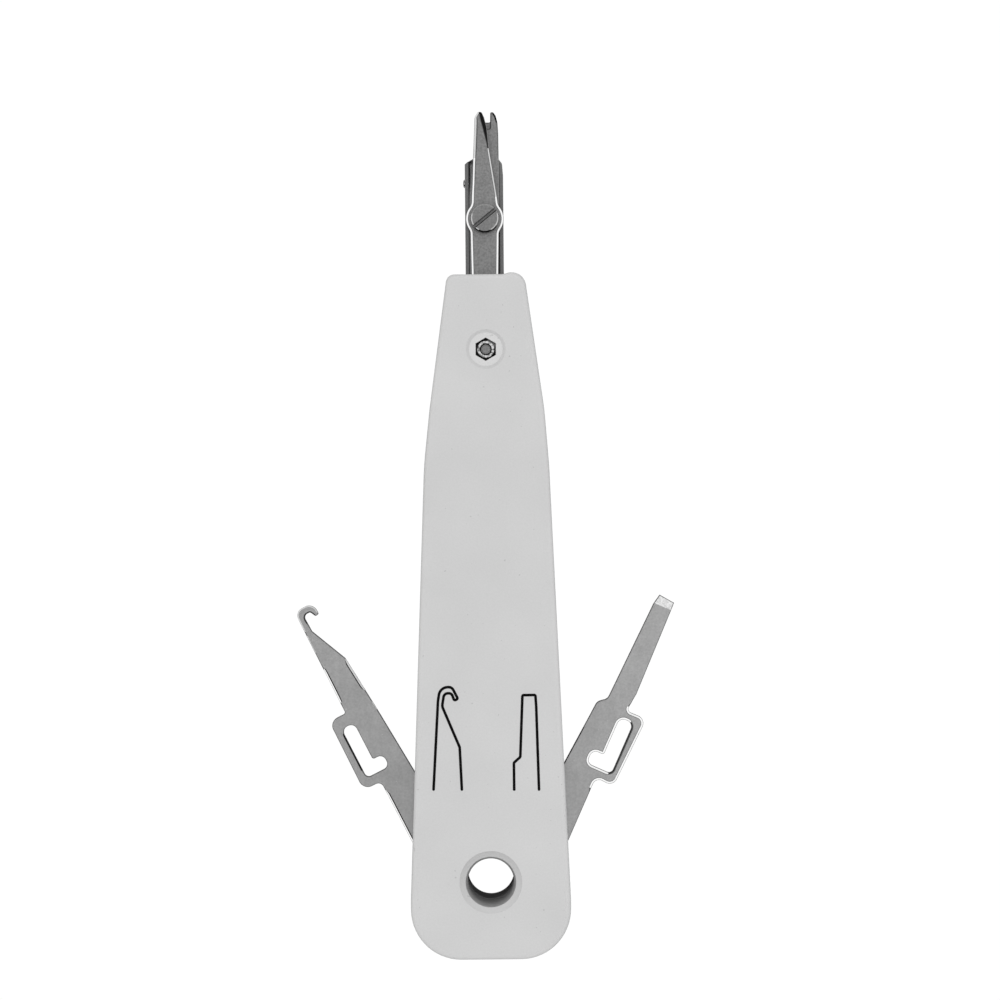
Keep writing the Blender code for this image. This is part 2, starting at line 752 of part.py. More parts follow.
def inserter_plate():
    """The forked plate that presses the wire into its contact."""
    tip = [
        (3.0, 84.5, 0.0),
        (2.87, 86.8, 1.5),
        (2.5, 88.3, 0.8),
        (1.95, TIP_Y, 0.4),
        (1.35, TIP_Y, 0.3),
        (1.3, 86.9, 0.25),
        (0.2, 86.9, 0.25),
        (0.0, 88.3, 0.4),
        (-1.5, 88.3, 0.5),
    ]
    outlines = [plate_outline(47.0, tip), circle(0.0, SCISSOR_Y, SCISSOR_R + FIT_GAP)]
    piece = plate("inserter_plate", outlines, INSERTER_Z, INSERTER_Z + INSERTER_THICKNESS)
    return finish_part(piece, "bright steel")


def fixed_cutter():
    """The scissor's still half, whose right prong is the counter edge."""
    tip = [
        (2.95, 84.5, 0.0),
        (2.8, 86.5, 1.5),
        (2.4, 87.9, 0.8),
        (1.9, 88.7, 0.3),
        (1.4, 88.7, 0.2),
        (1.3, 85.4, 0.25),
        (-1.7, 85.4, 0.6),
    ]
    outlines = [plate_outline(49.0, tip), circle(0.0, SCISSOR_Y, SCISSOR_R + FIT_GAP)]
    piece = plate("fixed_cutter", outlines, FIXED_Z, FIXED_Z + CUTTER_THICKNESS)
    return finish_part(piece, "head steel")


def cam_slot():
    """The slot that the cam pin follows, about the scissor screw, as the head slides in.

    At each point of the stroke the pin stands nearer to the screw by that much, and it is seen
    from the cutter turned by its share of the closing angle.
    """
    steps = 5
    centres = []
    for k in range(steps + 1):
        share = k / steps
        pin = Vector((0.0, CAM_Y - SCISSOR_Y + STROKE * share))
        turn = Matrix.Rotation(math.radians(CLOSING_ANGLE) * share, 2)
        centres.append(turn @ pin)
    half = CAM_R + FIT_GAP
    lean = math.degrees(math.atan2(*(centres[-1] - centres[0]))) * -1
    across = Vector((math.cos(math.radians(lean)), math.sin(math.radians(lean)))) * half
    right = [c + across for c in centres]
    left = [c - across for c in reversed(centres)]
    top = arc(*centres[-1], half, lean, lean + 180)[1:-1]
    foot = arc(*centres[0], half, lean + 180, lean + 360)[1:-1]
    return right + top + left + foot


def eye_flank(edge_x, half_turn):
    """The right side of the eye, with a hollow fillet down to an edge at x = edge_x.

    half_turn is 1 for the fillet above the eye and -1 for the one below it.
    """
    fillet = 2.0
    across = edge_x + fillet
    rise = math.sqrt((CUTTER_EYE_R + fillet) ** 2 - across ** 2)
    meets = math.degrees(math.atan2(rise, across))
    hollow = arc(across, half_turn * rise, fillet, half_turn * (meets - 180), -half_turn * 180)
    return hollow, meets


def eye_side(jaw_edge, tail_edge):
    """The right side of the moving cutter's eye, from the tail's edge up to the jaw's."""
    above, top_angle = eye_flank(jaw_edge, 1)
    below, foot_angle = eye_flank(tail_edge, -1)
    eye = arc(0.0, 0.0, CUTTER_EYE_R, -foot_angle, top_angle)
    return list(reversed(below)) + eye[1:-1] + above


def moving_cutter():
    """The scissor's moving half: tail, round eye and tapering jaw, on the scissor screw."""
    tail_low = CAM_Y - SCISSOR_Y - CAM_R - FIT_GAP - 0.9
    right_side = eye_side(JAW_HALF, TAIL_TOP_RIGHT)
    left_side = [Vector((-spot.x, spot.y)) for spot in reversed(eye_side(JAW_HALF, TAIL_TOP_LEFT))]
    jaw = rounded([
        (2.4, 6.0, 0.0),
        (1.0, 14.9, 0.0),
        (0.6, 19.3, 3.0),
        (0.05, 21.4, 1.2),
        (-0.5, 22.6, 0.45),
        (-1.3, 22.6, 0.45),
        (-1.98, 21.5, 0.9),
        (-2.12, 18.0, 0.0),
        (-2.45, 11.0, 0.0),
    ])
    outline = [Vector((-TAIL_LOW_LEFT, tail_low)), Vector((TAIL_LOW_RIGHT, tail_low))]
    outline += right_side + jaw + left_side
    outlines = [outline, circle(0.0, 0.0, SCISSOR_R + FIT_GAP), cam_slot()]
    high = MOVING_Z + CUTTER_THICKNESS
    piece = plate("moving_cutter", outlines, MOVING_Z, high, at=(0.0, SCISSOR_Y))
    return finish_part(piece, "head steel")


def scissor_screw():
    """The slotted screw that the scissor turns on."""
    seat_z = MOVING_Z + CUTTER_THICKNESS + FIT_GAP
    top_z = seat_z + SCISSOR_HEAD_H
    end_z = 4.3
    profile = [(0.0, top_z), (SCISSOR_HEAD_R - 0.35, top_z), (SCISSOR_HEAD_R, top_z - 0.3)]
    profile += [(SCISSOR_HEAD_R, seat_z), (SCISSOR_R, seat_z)]
    profile += [(SCISSOR_R, end_z + 0.2), (SCISSOR_R - 0.2, end_z), (0.0, end_z)]
    screw = turned("scissor_screw", profile, (0.0, SCISSOR_Y, 0.0))
    slot = box("scissor_screw_slot", (-4.0, -0.375, top_z - 0.7), (4.0, 0.375, top_z + 1))
    slot.location.y = SCISSOR_Y * MM
    slot.rotation_euler.z = math.radians(SCISSOR_SLOT_ANGLE)
    cut(screw, slot)
    return finish_part(screw, "tool steel")


def scissor_nut():
    high_z = CHANNEL_REAR_Z - FIT_GAP
    spot = (0.0, SCISSOR_Y)
    bore = SCISSOR_R + 0.2
    return nut("scissor_nut", 5.0, high_z - 1.5, high_z, bore, spot, "bright steel")


def spring_plunger():
    """The collar and guide rod that push on the spring, with a tang riveted in the channel."""
    profile = [(0.0, COLLAR_Y + 2), (COLLAR_R, COLLAR_Y + 2), (COLLAR_R, COLLAR_Y)]
    profile += [(ROD_R, COLLAR_Y), (ROD_R, ROD_END_Y + 0.3), (ROD_R - 0.3, ROD_END_Y)]
    profile += [(0.0, ROD_END_Y)]
    plunger = turned("spring_plunger", profile, (0.0, 0.0, SPRING_Z), axis="Y")
    low = (-2.4, COLLAR_Y + 1, CHANNEL_REAR_Z + CHANNEL_WALL + FIT_GAP)
    high = (2.4, PLUNGER_RIVET_Y + 3, CHANNEL_FRONT_Z - 0.3)
    join(plunger, box("plunger_tang", low, high))
    cut(plunger, rod("plunger_bore", 1.2, MID_Z - 5, MID_Z + 5, (0.0, PLUNGER_RIVET_Y, 0.0)))
    return finish_part(plunger, "bright steel")


def plunger_rivet():
    low = CHANNEL_REAR_Z + 0.05
    spot = (0.0, PLUNGER_RIVET_Y, 0.0)
    rivet = rod("plunger_rivet", 0.9, low, CHANNEL_FRONT_Z - 0.05, spot, sides=24, edge=0.2)
    return finish_part(rivet, "bright steel")


def return_spring():
    """A coil spring with closed end turns, from the seat to the plunger's collar."""
    low = SEAT_Y + FIT_GAP + SPRING_WIRE_R
    high = COLLAR_Y - FIT_GAP - SPRING_WIRE_R
    per_turn = 14
    end_pitch = 2 * SPRING_WIRE_R + 0.1
    count = SPRING_TURNS * per_turn
    curve = bpy.data.curves.new("return_spring", "CURVE")
    curve.dimensions = "3D"
    curve.bevel_depth = SPRING_WIRE_R * MM
    curve.bevel_resolution = 2
    curve.use_fill_caps = True
    spline = curve.splines.new("POLY")
    spline.points.add(count)
    open_rise = (high - low - 2 * end_pitch) / (SPRING_TURNS - 2)
    for k, point in enumerate(spline.points):
        turn = k / per_turn
        foot = min(turn, 1.0) * end_pitch
        middle = min(max(turn - 1, 0.0), SPRING_TURNS - 2) * open_rise
        head = max(turn - (SPRING_TURNS - 1), 0.0) * end_pitch
        spot = (
            SPRING_MEAN_R * math.cos(2 * math.pi * turn),
            low + foot + middle + head,
            SPRING_Z + SPRING_MEAN_R * math.sin(2 * math.pi * turn),
        )
        point.co = (*(s * MM for s in spot), 1.0)
    obj = bpy.data.objects.new("return_spring", curve)
    bpy.context.scene.collection.objects.link(obj)
    return finish_part(as_mesh(obj), "spring steel")


def spring_seat():
    """The block in the handle that the spring pushes against, with the guide rod's bore."""
    inner_low = WALL + 0.4
    inner_high = THICKNESS - WALL - 0.4
    seat = box("spring_seat", (-5.0, SEAT_Y - SEAT_THICKNESS, inner_low), (5.0, SEAT_Y, inner_high))
    bore = rod("seat_bore", ROD_R + 0.4, -20.0, 0.0, (0.0, 0.0, SPRING_Z), axis="Y", sides=24)
    cut(seat, bore)
    return finish_part(seat, "seat plastic")


# ---------------------------------------------------------------- the whole tool


def build():
    rear_shell()
    front_shell()
    closing_screw()
    closing_nut()
    for label, x in pivot_spots():
        pivot_pin(label, x)
        spring_washer(label, x)
    cam_pin()
    hook_tool()
    blade_tool()
    head_channel()
    side_rivet()
    inserter_plate()
    fixed_cutter()
    moving_cutter()
    scissor_screw()
    scissor_nut()
    spring_plunger()
    plunger_rivet()
    return_spring()
    spring_seat()


clear_scene()
PARTS = new_collection("punch_down_tool")
CUTTERS = new_collection("cutters")
build()
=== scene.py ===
"""Looks of the punch down tool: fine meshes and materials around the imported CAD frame.

The CAD frame gives every place: node boxes, joint axes and the hanging hole's box. Sizes named
below are in millimetres, like the frame's own once they are divided by MM.
"""

import json
import math

import bmesh
import bpy
from mathutils import Matrix, Vector


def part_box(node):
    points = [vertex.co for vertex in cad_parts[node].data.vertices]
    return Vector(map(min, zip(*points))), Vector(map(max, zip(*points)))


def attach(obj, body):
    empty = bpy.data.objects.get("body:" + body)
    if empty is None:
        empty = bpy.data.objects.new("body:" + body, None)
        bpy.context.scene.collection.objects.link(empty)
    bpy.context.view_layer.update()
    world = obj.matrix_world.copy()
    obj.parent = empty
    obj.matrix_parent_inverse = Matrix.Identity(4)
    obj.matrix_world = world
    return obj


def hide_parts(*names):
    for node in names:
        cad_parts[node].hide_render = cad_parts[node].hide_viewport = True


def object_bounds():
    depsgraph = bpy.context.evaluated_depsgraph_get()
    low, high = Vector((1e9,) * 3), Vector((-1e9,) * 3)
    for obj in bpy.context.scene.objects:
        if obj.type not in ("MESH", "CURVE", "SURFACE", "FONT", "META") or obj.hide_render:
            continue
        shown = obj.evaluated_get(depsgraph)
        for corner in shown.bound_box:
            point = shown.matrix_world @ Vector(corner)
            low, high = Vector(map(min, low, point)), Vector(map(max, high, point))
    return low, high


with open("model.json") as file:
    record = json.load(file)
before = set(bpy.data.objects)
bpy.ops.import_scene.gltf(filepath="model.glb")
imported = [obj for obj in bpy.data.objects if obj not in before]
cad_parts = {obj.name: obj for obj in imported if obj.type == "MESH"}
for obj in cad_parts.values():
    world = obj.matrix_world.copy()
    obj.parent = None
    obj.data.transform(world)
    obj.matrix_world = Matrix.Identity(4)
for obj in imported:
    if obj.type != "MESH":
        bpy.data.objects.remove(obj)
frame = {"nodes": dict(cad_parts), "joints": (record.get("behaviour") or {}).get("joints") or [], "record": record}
CAD_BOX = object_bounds()

MM = 0.001
ARC_STEP = math.radians(6)
ROUND_SIDES = 96
SMALL_SIDES = 48


# ---------------------------------------------------------------- places read from the frame


def node_box(node):
    """A node's lowest and highest corners in millimetres."""
    low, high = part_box(node)
    return low / MM, high / MM


def joint_spot(name):
    """A hinge's place in millimetres."""
    joint = next(j for j in frame["joints"] if j["name"] == name)
    return Vector(joint["pos_m"]) / MM


def opening_centre(name):
    """The middle of one of the record's openings in millimetres."""
    opening = next(o for o in frame["record"]["physics"]["openings"] if o["name"] == name)
    low, high = (Vector(corner) / MM for corner in opening["box_m"])
    return (low + high) / 2


FRONT_LOW, FRONT_HIGH = node_box("front_shell")
REAR_LOW, REAR_HIGH = node_box("rear_shell")
HOLE = opening_centre("hanging_hole")
HOOK_PIVOT = joint_spot("hook_pivot")
BLADE_PIVOT = joint_spot("blade_pivot")
SCISSOR = joint_spot("cutter_pivot")
NUT_LOW, NUT_HIGH = node_box("closing_nut")
NUT_SPOT = (NUT_LOW + NUT_HIGH) / 2
CAM_SPOT = sum(node_box("cam_pin"), Vector()) / 2
CHANNEL_LOW, CHANNEL_HIGH = node_box("head_channel")
CHANNEL_X = (CHANNEL_LOW.x + CHANNEL_HIGH.x) / 2
HOLE_AT, NUT_AT, CAM_AT, SCISSOR_AT = ((p.x, p.y, 0.0) for p in (HOLE, NUT_SPOT, CAM_SPOT, SCISSOR))

# ---------------------------------------------------------------- sizes

# Handle
BUTT_Y = FRONT_LOW.y
SHOULDER_Y = FRONT_HIGH.y
UPPER_KNEE_Y = 25.5
LOWER_KNEE_Y = 14.0
WIDEST_Y = -76.7
TOP_RIGHT = 8.15
TOP_LEFT = 8.0
UPPER_KNEE_RIGHT = 12.15
UPPER_KNEE_LEFT = 11.9
LOWER_KNEE_RIGHT = 13.03
LOWER_KNEE_LEFT = 13.12
BUTT_RIGHT = FRONT_HIGH.x
BUTT_LEFT = -FRONT_LOW.x
TOP_RIGHT_R = 3.0
TOP_LEFT_R = 1.8
LIP_X = 5.0
LIP_FOOT_X = 3.8
LIP_RISE = 0.35
LIP_R = 2.5
KNEE_R = 60.0
BUTT_CORNER_R = 10.5
PRINT_THICKNESS = 0.03
REAR_Z = REAR_LOW.z
FACE_Z = FRONT_HIGH.z - PRINT_THICKNESS
PARTING_REAR_Z = REAR_HIGH.z
PARTING_FRONT_Z = 2 * REAR_LOW.z + FRONT_HIGH.z - REAR_HIGH.z
MID_Z = (PARTING_REAR_Z + PARTING_FRONT_Z) / 2
EDGE_ROUND = 1.3
PARTING_ROUND = 0.15
SHELL_WALL = 1.0
SLOT_HEIGHT = 2.0
SLOT_LOW_Y = -74.3
SLOT_HIGH_Y = -6.5
HOLE_RING_R = 7.4
PIVOT_BOSS_R = 3.2
PIVOT_BORE_R = 1.8
PIVOT_RELIEF_R = 3.4

# What the shells hold inside
RIB_REACH = 0.8
RAIL_LOW_Y = 24.0
RAIL_GAP = 0.4
RAIL_WIDTH = 1.2
PAD_HALF = 3.9
PAD_LOW_Y = 24.5
FRONT_PAD_HIGH_Y = 33.0
REAR_BED_HIGH_Y = 51.0
NUT_BOSS_R = 3.3
SCREW_BORE_R = 1.3
COUNTERBORE_R = 2.3
CAM_BOSS_R = 2.6
CAM_BORE_R = 1.1

# Nut dish
DISH_R = 4.05
DISH_DEPTH = 0.4
POCKET_FLATS = 4.2
MOUTH_ROUND = 0.12

# Fold-out tools
HOOK_ANGLE = 26.85
BLADE_ANGLE = 24.1
TOOL_END_R = 4.1
BACK_CHAMFER = 0.08
GRIND_START = 55.75
GRIND_END = 57.8
GRIND_DROP = 0.75

# Head
CHANNEL_WALL = 0.75
SCISSOR_BORE_R = 1.8
SCREW_HEAD_H = 1.5
STROKE = 5.0
CLOSING_ANGLE = 4.5
CUTTER_EYE_R = 4.0
JAW_HALF = 2.75
TAIL_TOP_LEFT = 3.03
TAIL_TOP_RIGHT = 2.93
TAIL_LOW_LEFT = 2.72
TAIL_LOW_RIGHT = 2.62
SCREW_SLOT_ANGLE = 39.0
SCREW_SLOT_WIDTH = 0.75
CHANNEL_SHOULDER_Y = 77.95
CHANNEL_FLOOR_RISE = 0.4
PLATE_LEFT = -3.3
PLATE_RIGHT = 2.85
PLATE_TOP_LEFT = -2.72
PLATE_TOP_RIGHT = 3.1
PLATE_STEM_HALF = 2.2
PLATE_SHOULDER_Y = 53.0
TIP_Y = node_box("inserter_plate")[1].y


# ---------------------------------------------------------------- outlines


def quarter(steps, first=0):
    """The angles that split a quarter turn into equal steps."""
    return [math.pi / 2 * k / steps for k in range(first, steps + 1)]


def rounded(corners):
    """A closed outline through (x, y, radius) corners, with an arc at each one that has a radius."""
    path = []
    for i, (x, y, radius) in enumerate(corners):
        here = Vector((x, y))
        if not radius:
            path.append(here)
            continue
        before = (Vector(corners[i - 1][:2]) - here).normalized()
        after = (Vector(corners[(i + 1) % len(corners)][:2]) - here).normalized()
        half = before.angle(after) / 2
        centre = here + (before + after).normalized() * (radius / math.sin(half))
        spoke = here + before * (radius / math.tan(half)) - centre
        turn = math.copysign(math.pi - 2 * half, before.y * after.x - before.x * after.y)
        steps = max(2, math.ceil(abs(turn) / ARC_STEP))
        for k in range(steps + 1):
            path.append(centre + Matrix.Rotation(turn * k / steps, 2) @ spoke)
    return path


def circle(x, y, radius):
    spots = [2 * math.pi * k / SMALL_SIDES for k in range(SMALL_SIDES)]
    return [Vector((x + radius * math.cos(a), y + radius * math.sin(a))) for a in spots]


def arc(x, y, radius, start, end):
    """Points on a circle from the start angle to the end angle, both in degrees."""
    steps = max(2, math.ceil(math.radians(abs(end - start)) / ARC_STEP))
    spots = [math.radians(start + (end - start) * k / steps) for k in range(steps + 1)]
    return [Vector((x + radius * math.cos(a), y + radius * math.sin(a))) for a in spots]


def hexagon(corner_r, centre):
    """A hexagon with two of its corners on the tool's long axis."""
    spots = [math.pi * k / 3 for k in range(6)]
    return [Vector((centre.x - corner_r * math.sin(a), centre.y + corner_r * math.cos(a)))
            for a in spots]


def closed_area(path):
    return sum(a.x * b.y - b.x * a.y for a, b in zip(path, path[1:] + path[:1])) / 2


def thinned(path, least=0.01):
    """The path without points that lie on the one before."""
    kept = []
    for spot in path:
        if not kept or (spot - kept[-1]).length > least:
            kept.append(spot)
    if (kept[0] - kept[-1]).length <= least:
        kept.pop()
    return kept


def inset(path, distances):
    """Each point moved to the left of the path by its own distance, with mitred corners."""
    moved = []
    for i, spot in enumerate(path):
        first = (spot - path[i - 1]).normalized()
        second = (path[(i + 1) % len(path)] - spot).normalized()
        normal = Vector((-first.y - second.y, first.x + second.x)).normalized()
        stretch = min(1.6, 1 / max(0.2, normal.dot(Vector((-first.y, first.x)))))
        moved.append(spot + normal * distances[i] * stretch)
    return moved


def handle_outline(shrink=0.0):
    """The handle seen from the front, or the same shape shrunk by a wall."""
    top = SHOULDER_Y - shrink
    rest = top - LIP_RISE
    right = [
        (TOP_RIGHT - shrink, top, max(TOP_RIGHT_R - shrink, 0.4)),
        (UPPER_KNEE_RIGHT - shrink, UPPER_KNEE_Y, KNEE_R),
        (LOWER_KNEE_RIGHT - shrink, LOWER_KNEE_Y, KNEE_R),
        (BUTT_RIGHT - shrink, WIDEST_Y, 0.0),
        (BUTT_RIGHT - shrink, BUTT_Y + shrink, BUTT_CORNER_R - shrink),
    ]
    left = [
        (shrink - BUTT_LEFT, BUTT_Y + shrink, BUTT_CORNER_R - shrink),
        (shrink - BUTT_LEFT, WIDEST_Y, 0.0),
        (shrink - LOWER_KNEE_LEFT, LOWER_KNEE_Y, KNEE_R),
        (shrink - UPPER_KNEE_LEFT, UPPER_KNEE_Y, KNEE_R),
        (shrink - TOP_LEFT, rest, max(TOP_LEFT_R - shrink, 0.4)),
    ]
    lip = [(LIP_FOOT_X, rest, 0.8), (LIP_X, top, LIP_R)]
    return rounded(right + left + lip)


# ---------------------------------------------------------------- mesh helpers


def new_object(name, mesh):
    obj = bpy.data.objects.new(name, mesh)
    bpy.context.scene.collection.objects.link(obj)
    return obj


def mesh_from(name, bm):
    bmesh.ops.recalc_face_normals(bm, faces=bm.faces)
    mesh = bpy.data.meshes.new(name)
    bm.to_mesh(mesh)
    bm.free()
    return mesh


def ring(bm, path, heights):
    """Vertices at the points of a path, with a height for each."""
    return [bm.verts.new((p.x * MM, p.y * MM, z * MM)) for p, z in zip(path, heights)]


def level_ring(bm, path, height):
    return ring(bm, path, [height] * len(path))


def span(bm, lower, upper):
    """The faces between two rings that have as many vertices each."""
    made = []
    for i, a in enumerate(lower):
        j = (i + 1) % len(lower)
        made.append(bm.faces.new((a, lower[j], upper[j], upper[i])))
    return made


def span_all(bm, rows):
    for lower, upper in zip(rows, rows[1:]):
        span(bm, lower, upper)


def cap(bm, rows):
    """One flat end inside the first ring and outside the others."""
    edges = []
    for row in rows:
        edges += [bm.edges.get((a, b)) for a, b in zip(row, row[1:] + row[:1])]
    bmesh.ops.triangle_fill(bm, edges=edges, use_beauty=True)


def lofted(name, rings):
    """A closed piece through (path, height) rings that have as many points each."""
    bm = bmesh.new()
    rows = [level_ring(bm, path, height) for path, height in rings]
    span_all(bm, rows)
    bm.faces.new(rows[0])
    bm.faces.new(rows[-1])
    return new_object(name, mesh_from(name, bm))


# Materials by number in a flat piece, and the edges that it may have: the widths and materials of
# three strips from the wall to the face
# BRIGHT and LIGHT strips paint highlights on edges; LINE and DARK strips paint shade lines.
FACE, SIDE, BRIGHT, LIGHT, LINE, DARK = range(6)
PLAIN_EDGE = ((0.07, 0.08, 0.04), (LINE, LINE, FACE))
DARK_EDGE = ((0.08, 0.15, 0.08), (LINE, DARK, LINE))
BRIGHT_EDGE = ((0.08, 0.36, 0.11), (LINE, BRIGHT, LINE))
LIGHT_EDGE = ((0.07, 0.26, 0.09), (LINE, LIGHT, LINE))


def mixed(share, first, second):
    """An edge between two others: its widths blend and its materials switch half way."""
    widths = tuple(a + (b - a) * share for a, b in zip(first[0], second[0]))
    return widths, (second if share > 0.5 else first)[1]


def edge_rings(path, high, widths):
    """The rings of an edge's three strips, from the wall's top to the face."""
    rings = []
    for level in range(4):
        away = [sum(w[:level]) for w in widths]
        falls = [(0.35 * w[0] + 0.7 * w[1], 0.7 * w[1], 0.01, 0.0)[level] for w in widths]
        rings.append((inset(path, away), [high - fall for fall in falls]))
    return rings


def layered(name, outlines, low, high, edge=None, back=0.0):
    """A flat piece between two heights; the first outline is its edge and the others are holes.

    edge gives the three strips at a point of an outline; without it the edge is square. back is
    the width of the chamfer underneath.
    """
    bm = bmesh.new()
    bottoms = []
    tops = []
    for number, outline in enumerate(outlines):
        path = thinned(outline)
        if (closed_area(path) > 0) != (number == 0):
            path.reverse()
        count = len(path)
        rings = [(path, [low + back] * count)]
        if back:
            rings.insert(0, (inset(path, [back] * count), [low] * count))
        wall = len(rings) - 1
        if edge:
            rings += edge_rings(path, high, [edge(spot, number)[0] for spot in path])
        else:
            rings.append((path, [high] * count))
        rows = [ring(bm, *points) for points in rings]
        for level, (lower, upper) in enumerate(zip(rows, rows[1:])):
            for i, face in enumerate(span(bm, lower, upper)):
                face.material_index = SIDE
                if edge and level > wall:
                    kinds = edge((path[i] + path[(i + 1) % count]) / 2, number)[1]
                    face.material_index = kinds[level - wall - 1]
        bottoms.append(rows[0])
        tops.append(rows[-1])
    cap(bm, tops)
    cap(bm, bottoms)
    return new_object(name, mesh_from(name, bm))


def block(name, low, high):
    bm = bmesh.new()
    bmesh.ops.create_cube(bm, size=1.0)
    middle = (Vector(low) + Vector(high)) / 2
    bmesh.ops.scale(bm, vec=(Vector(high) - Vector(low)) * MM, verts=bm.verts)
    bmesh.ops.translate(bm, vec=middle * MM, verts=bm.verts)
    return new_object(name, mesh_from(name, bm))


def turned(name, profile, at, axis="Z", sides=ROUND_SIDES):
    """A turned piece from (radius, height) pairs, given from one end of its axis to the other."""
    bm = bmesh.new()
    spots = [bm.verts.new((r * MM, 0.0, h * MM)) for r, h in profile]
    edges = [bm.edges.new(pair) for pair in zip(spots, spots[1:])]
    bmesh.ops.spin(bm, geom=spots + edges, cent=(0, 0, 0), axis=(0, 0, 1),
                   angle=2 * math.pi, steps=sides, use_merge=True)
    bmesh.ops.remove_doubles(bm, verts=bm.verts, dist=0.001 * MM)
    tilt = {"Z": Matrix(), "X": Matrix.Rotation(math.pi / 2, 4, "Y")}[axis]
    bmesh.ops.transform(bm, matrix=Matrix.Translation(Vector(at) * MM) @ tilt, verts=bm.verts)
    return new_object(name, mesh_from(name, bm))


def rod(name, radius, low, high, at, sides=SMALL_SIDES):
    profile = [(0.0, high), (radius, high), (radius, low), (0.0, low)]
    return turned(name, profile, at, sides=sides)


def thread(radius, core, high, low, pitch):
    """The rings of a thread from high to low as (radius, height) pairs, and where they end."""
    rings = []
    while high > low:
        rings += [(radius, high), (core, high - pitch / 2)]
        high -= pitch
    return rings, high


def combine(obj, operation, others):
    """Cuts or joins others with obj in one exact step, and removes them."""
    group = bpy.data.collections.new(f"{obj.name} {operation.lower()}")
    bpy.context.scene.collection.children.link(group)
    for other in others:
        for old in list(other.users_collection):
            old.objects.unlink(other)
        group.objects.link(other)
    step = obj.modifiers.new(operation.lower(), "BOOLEAN")
    step.operation = operation
    step.solver = "EXACT"
    step.operand_type = "COLLECTION"
    step.collection = group
    bake(obj)
    for other in others:
        bpy.data.objects.remove(other, do_unlink=True)
    bpy.data.collections.remove(group)


def bake(obj):
    """Applies obj's modifiers to its mesh."""
    bpy.context.view_layer.update()
    evaluated = obj.evaluated_get(bpy.context.evaluated_depsgraph_get())
    mesh = bpy.data.meshes.new_from_object(evaluated)
    obj.modifiers.clear()
    old = obj.data
    obj.data = mesh
    bpy.data.meshes.remove(old)


def soften(obj, width):
    """A small bevel on every sharp edge."""
    bevel = obj.modifiers.new("edges", "BEVEL")
    bevel.width = width * MM
    bevel.segments = 2
    bevel.limit_method = "ANGLE"
    bevel.angle_limit = math.radians(35.0)
    bevel.use_clamp_overlap = True
    bevel.miter_outer = "MITER_ARC"
    bake(obj)


def shade(obj):
    """Smooth shading that keeps the sharp edges."""
    obj.data.shade_smooth()
    obj.data.set_sharp_from_angle(angle=math.radians(32.0))
    weighted = obj.modifiers.new("normals", "WEIGHTED_NORMAL")
    weighted.keep_sharp = True
    weighted.weight = 100
    return obj


def place(obj, pivot, turn):
    """Moves a piece modelled about its own pivot to its place, turned about +Z."""
    at = Vector((pivot.x, pivot.y, 0.0)) * MM
    obj.data.transform(Matrix.Translation(at) @ Matrix.Rotation(math.radians(turn), 4, "Z"))
    return obj


def settle(obj, body, materials, nodes=()):
    """Gives a finished piece its materials and its body, and hides the CAD nodes that it stands for."""
    kinds = [face.material_index for face in obj.data.polygons]
    obj.data.materials.clear()
    for item in materials:
        obj.data.materials.append(item)
    obj.data.polygons.foreach_set("material_index", kinds)
    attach(obj, body)
    if nodes:
        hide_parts(*nodes)
    return obj


# ---------------------------------------------------------------- materials


def fill_ramp(made, stops):
    """Sets the stops of a colour ramp, given as (position, grey) pairs."""
    elements = made.color_ramp.elements
    while len(elements) < len(stops):
        elements.new(0.5)
    for element, (position, grey) in zip(elements, stops):
        element.position = position
        element.color = (grey, grey, grey, 1.0)


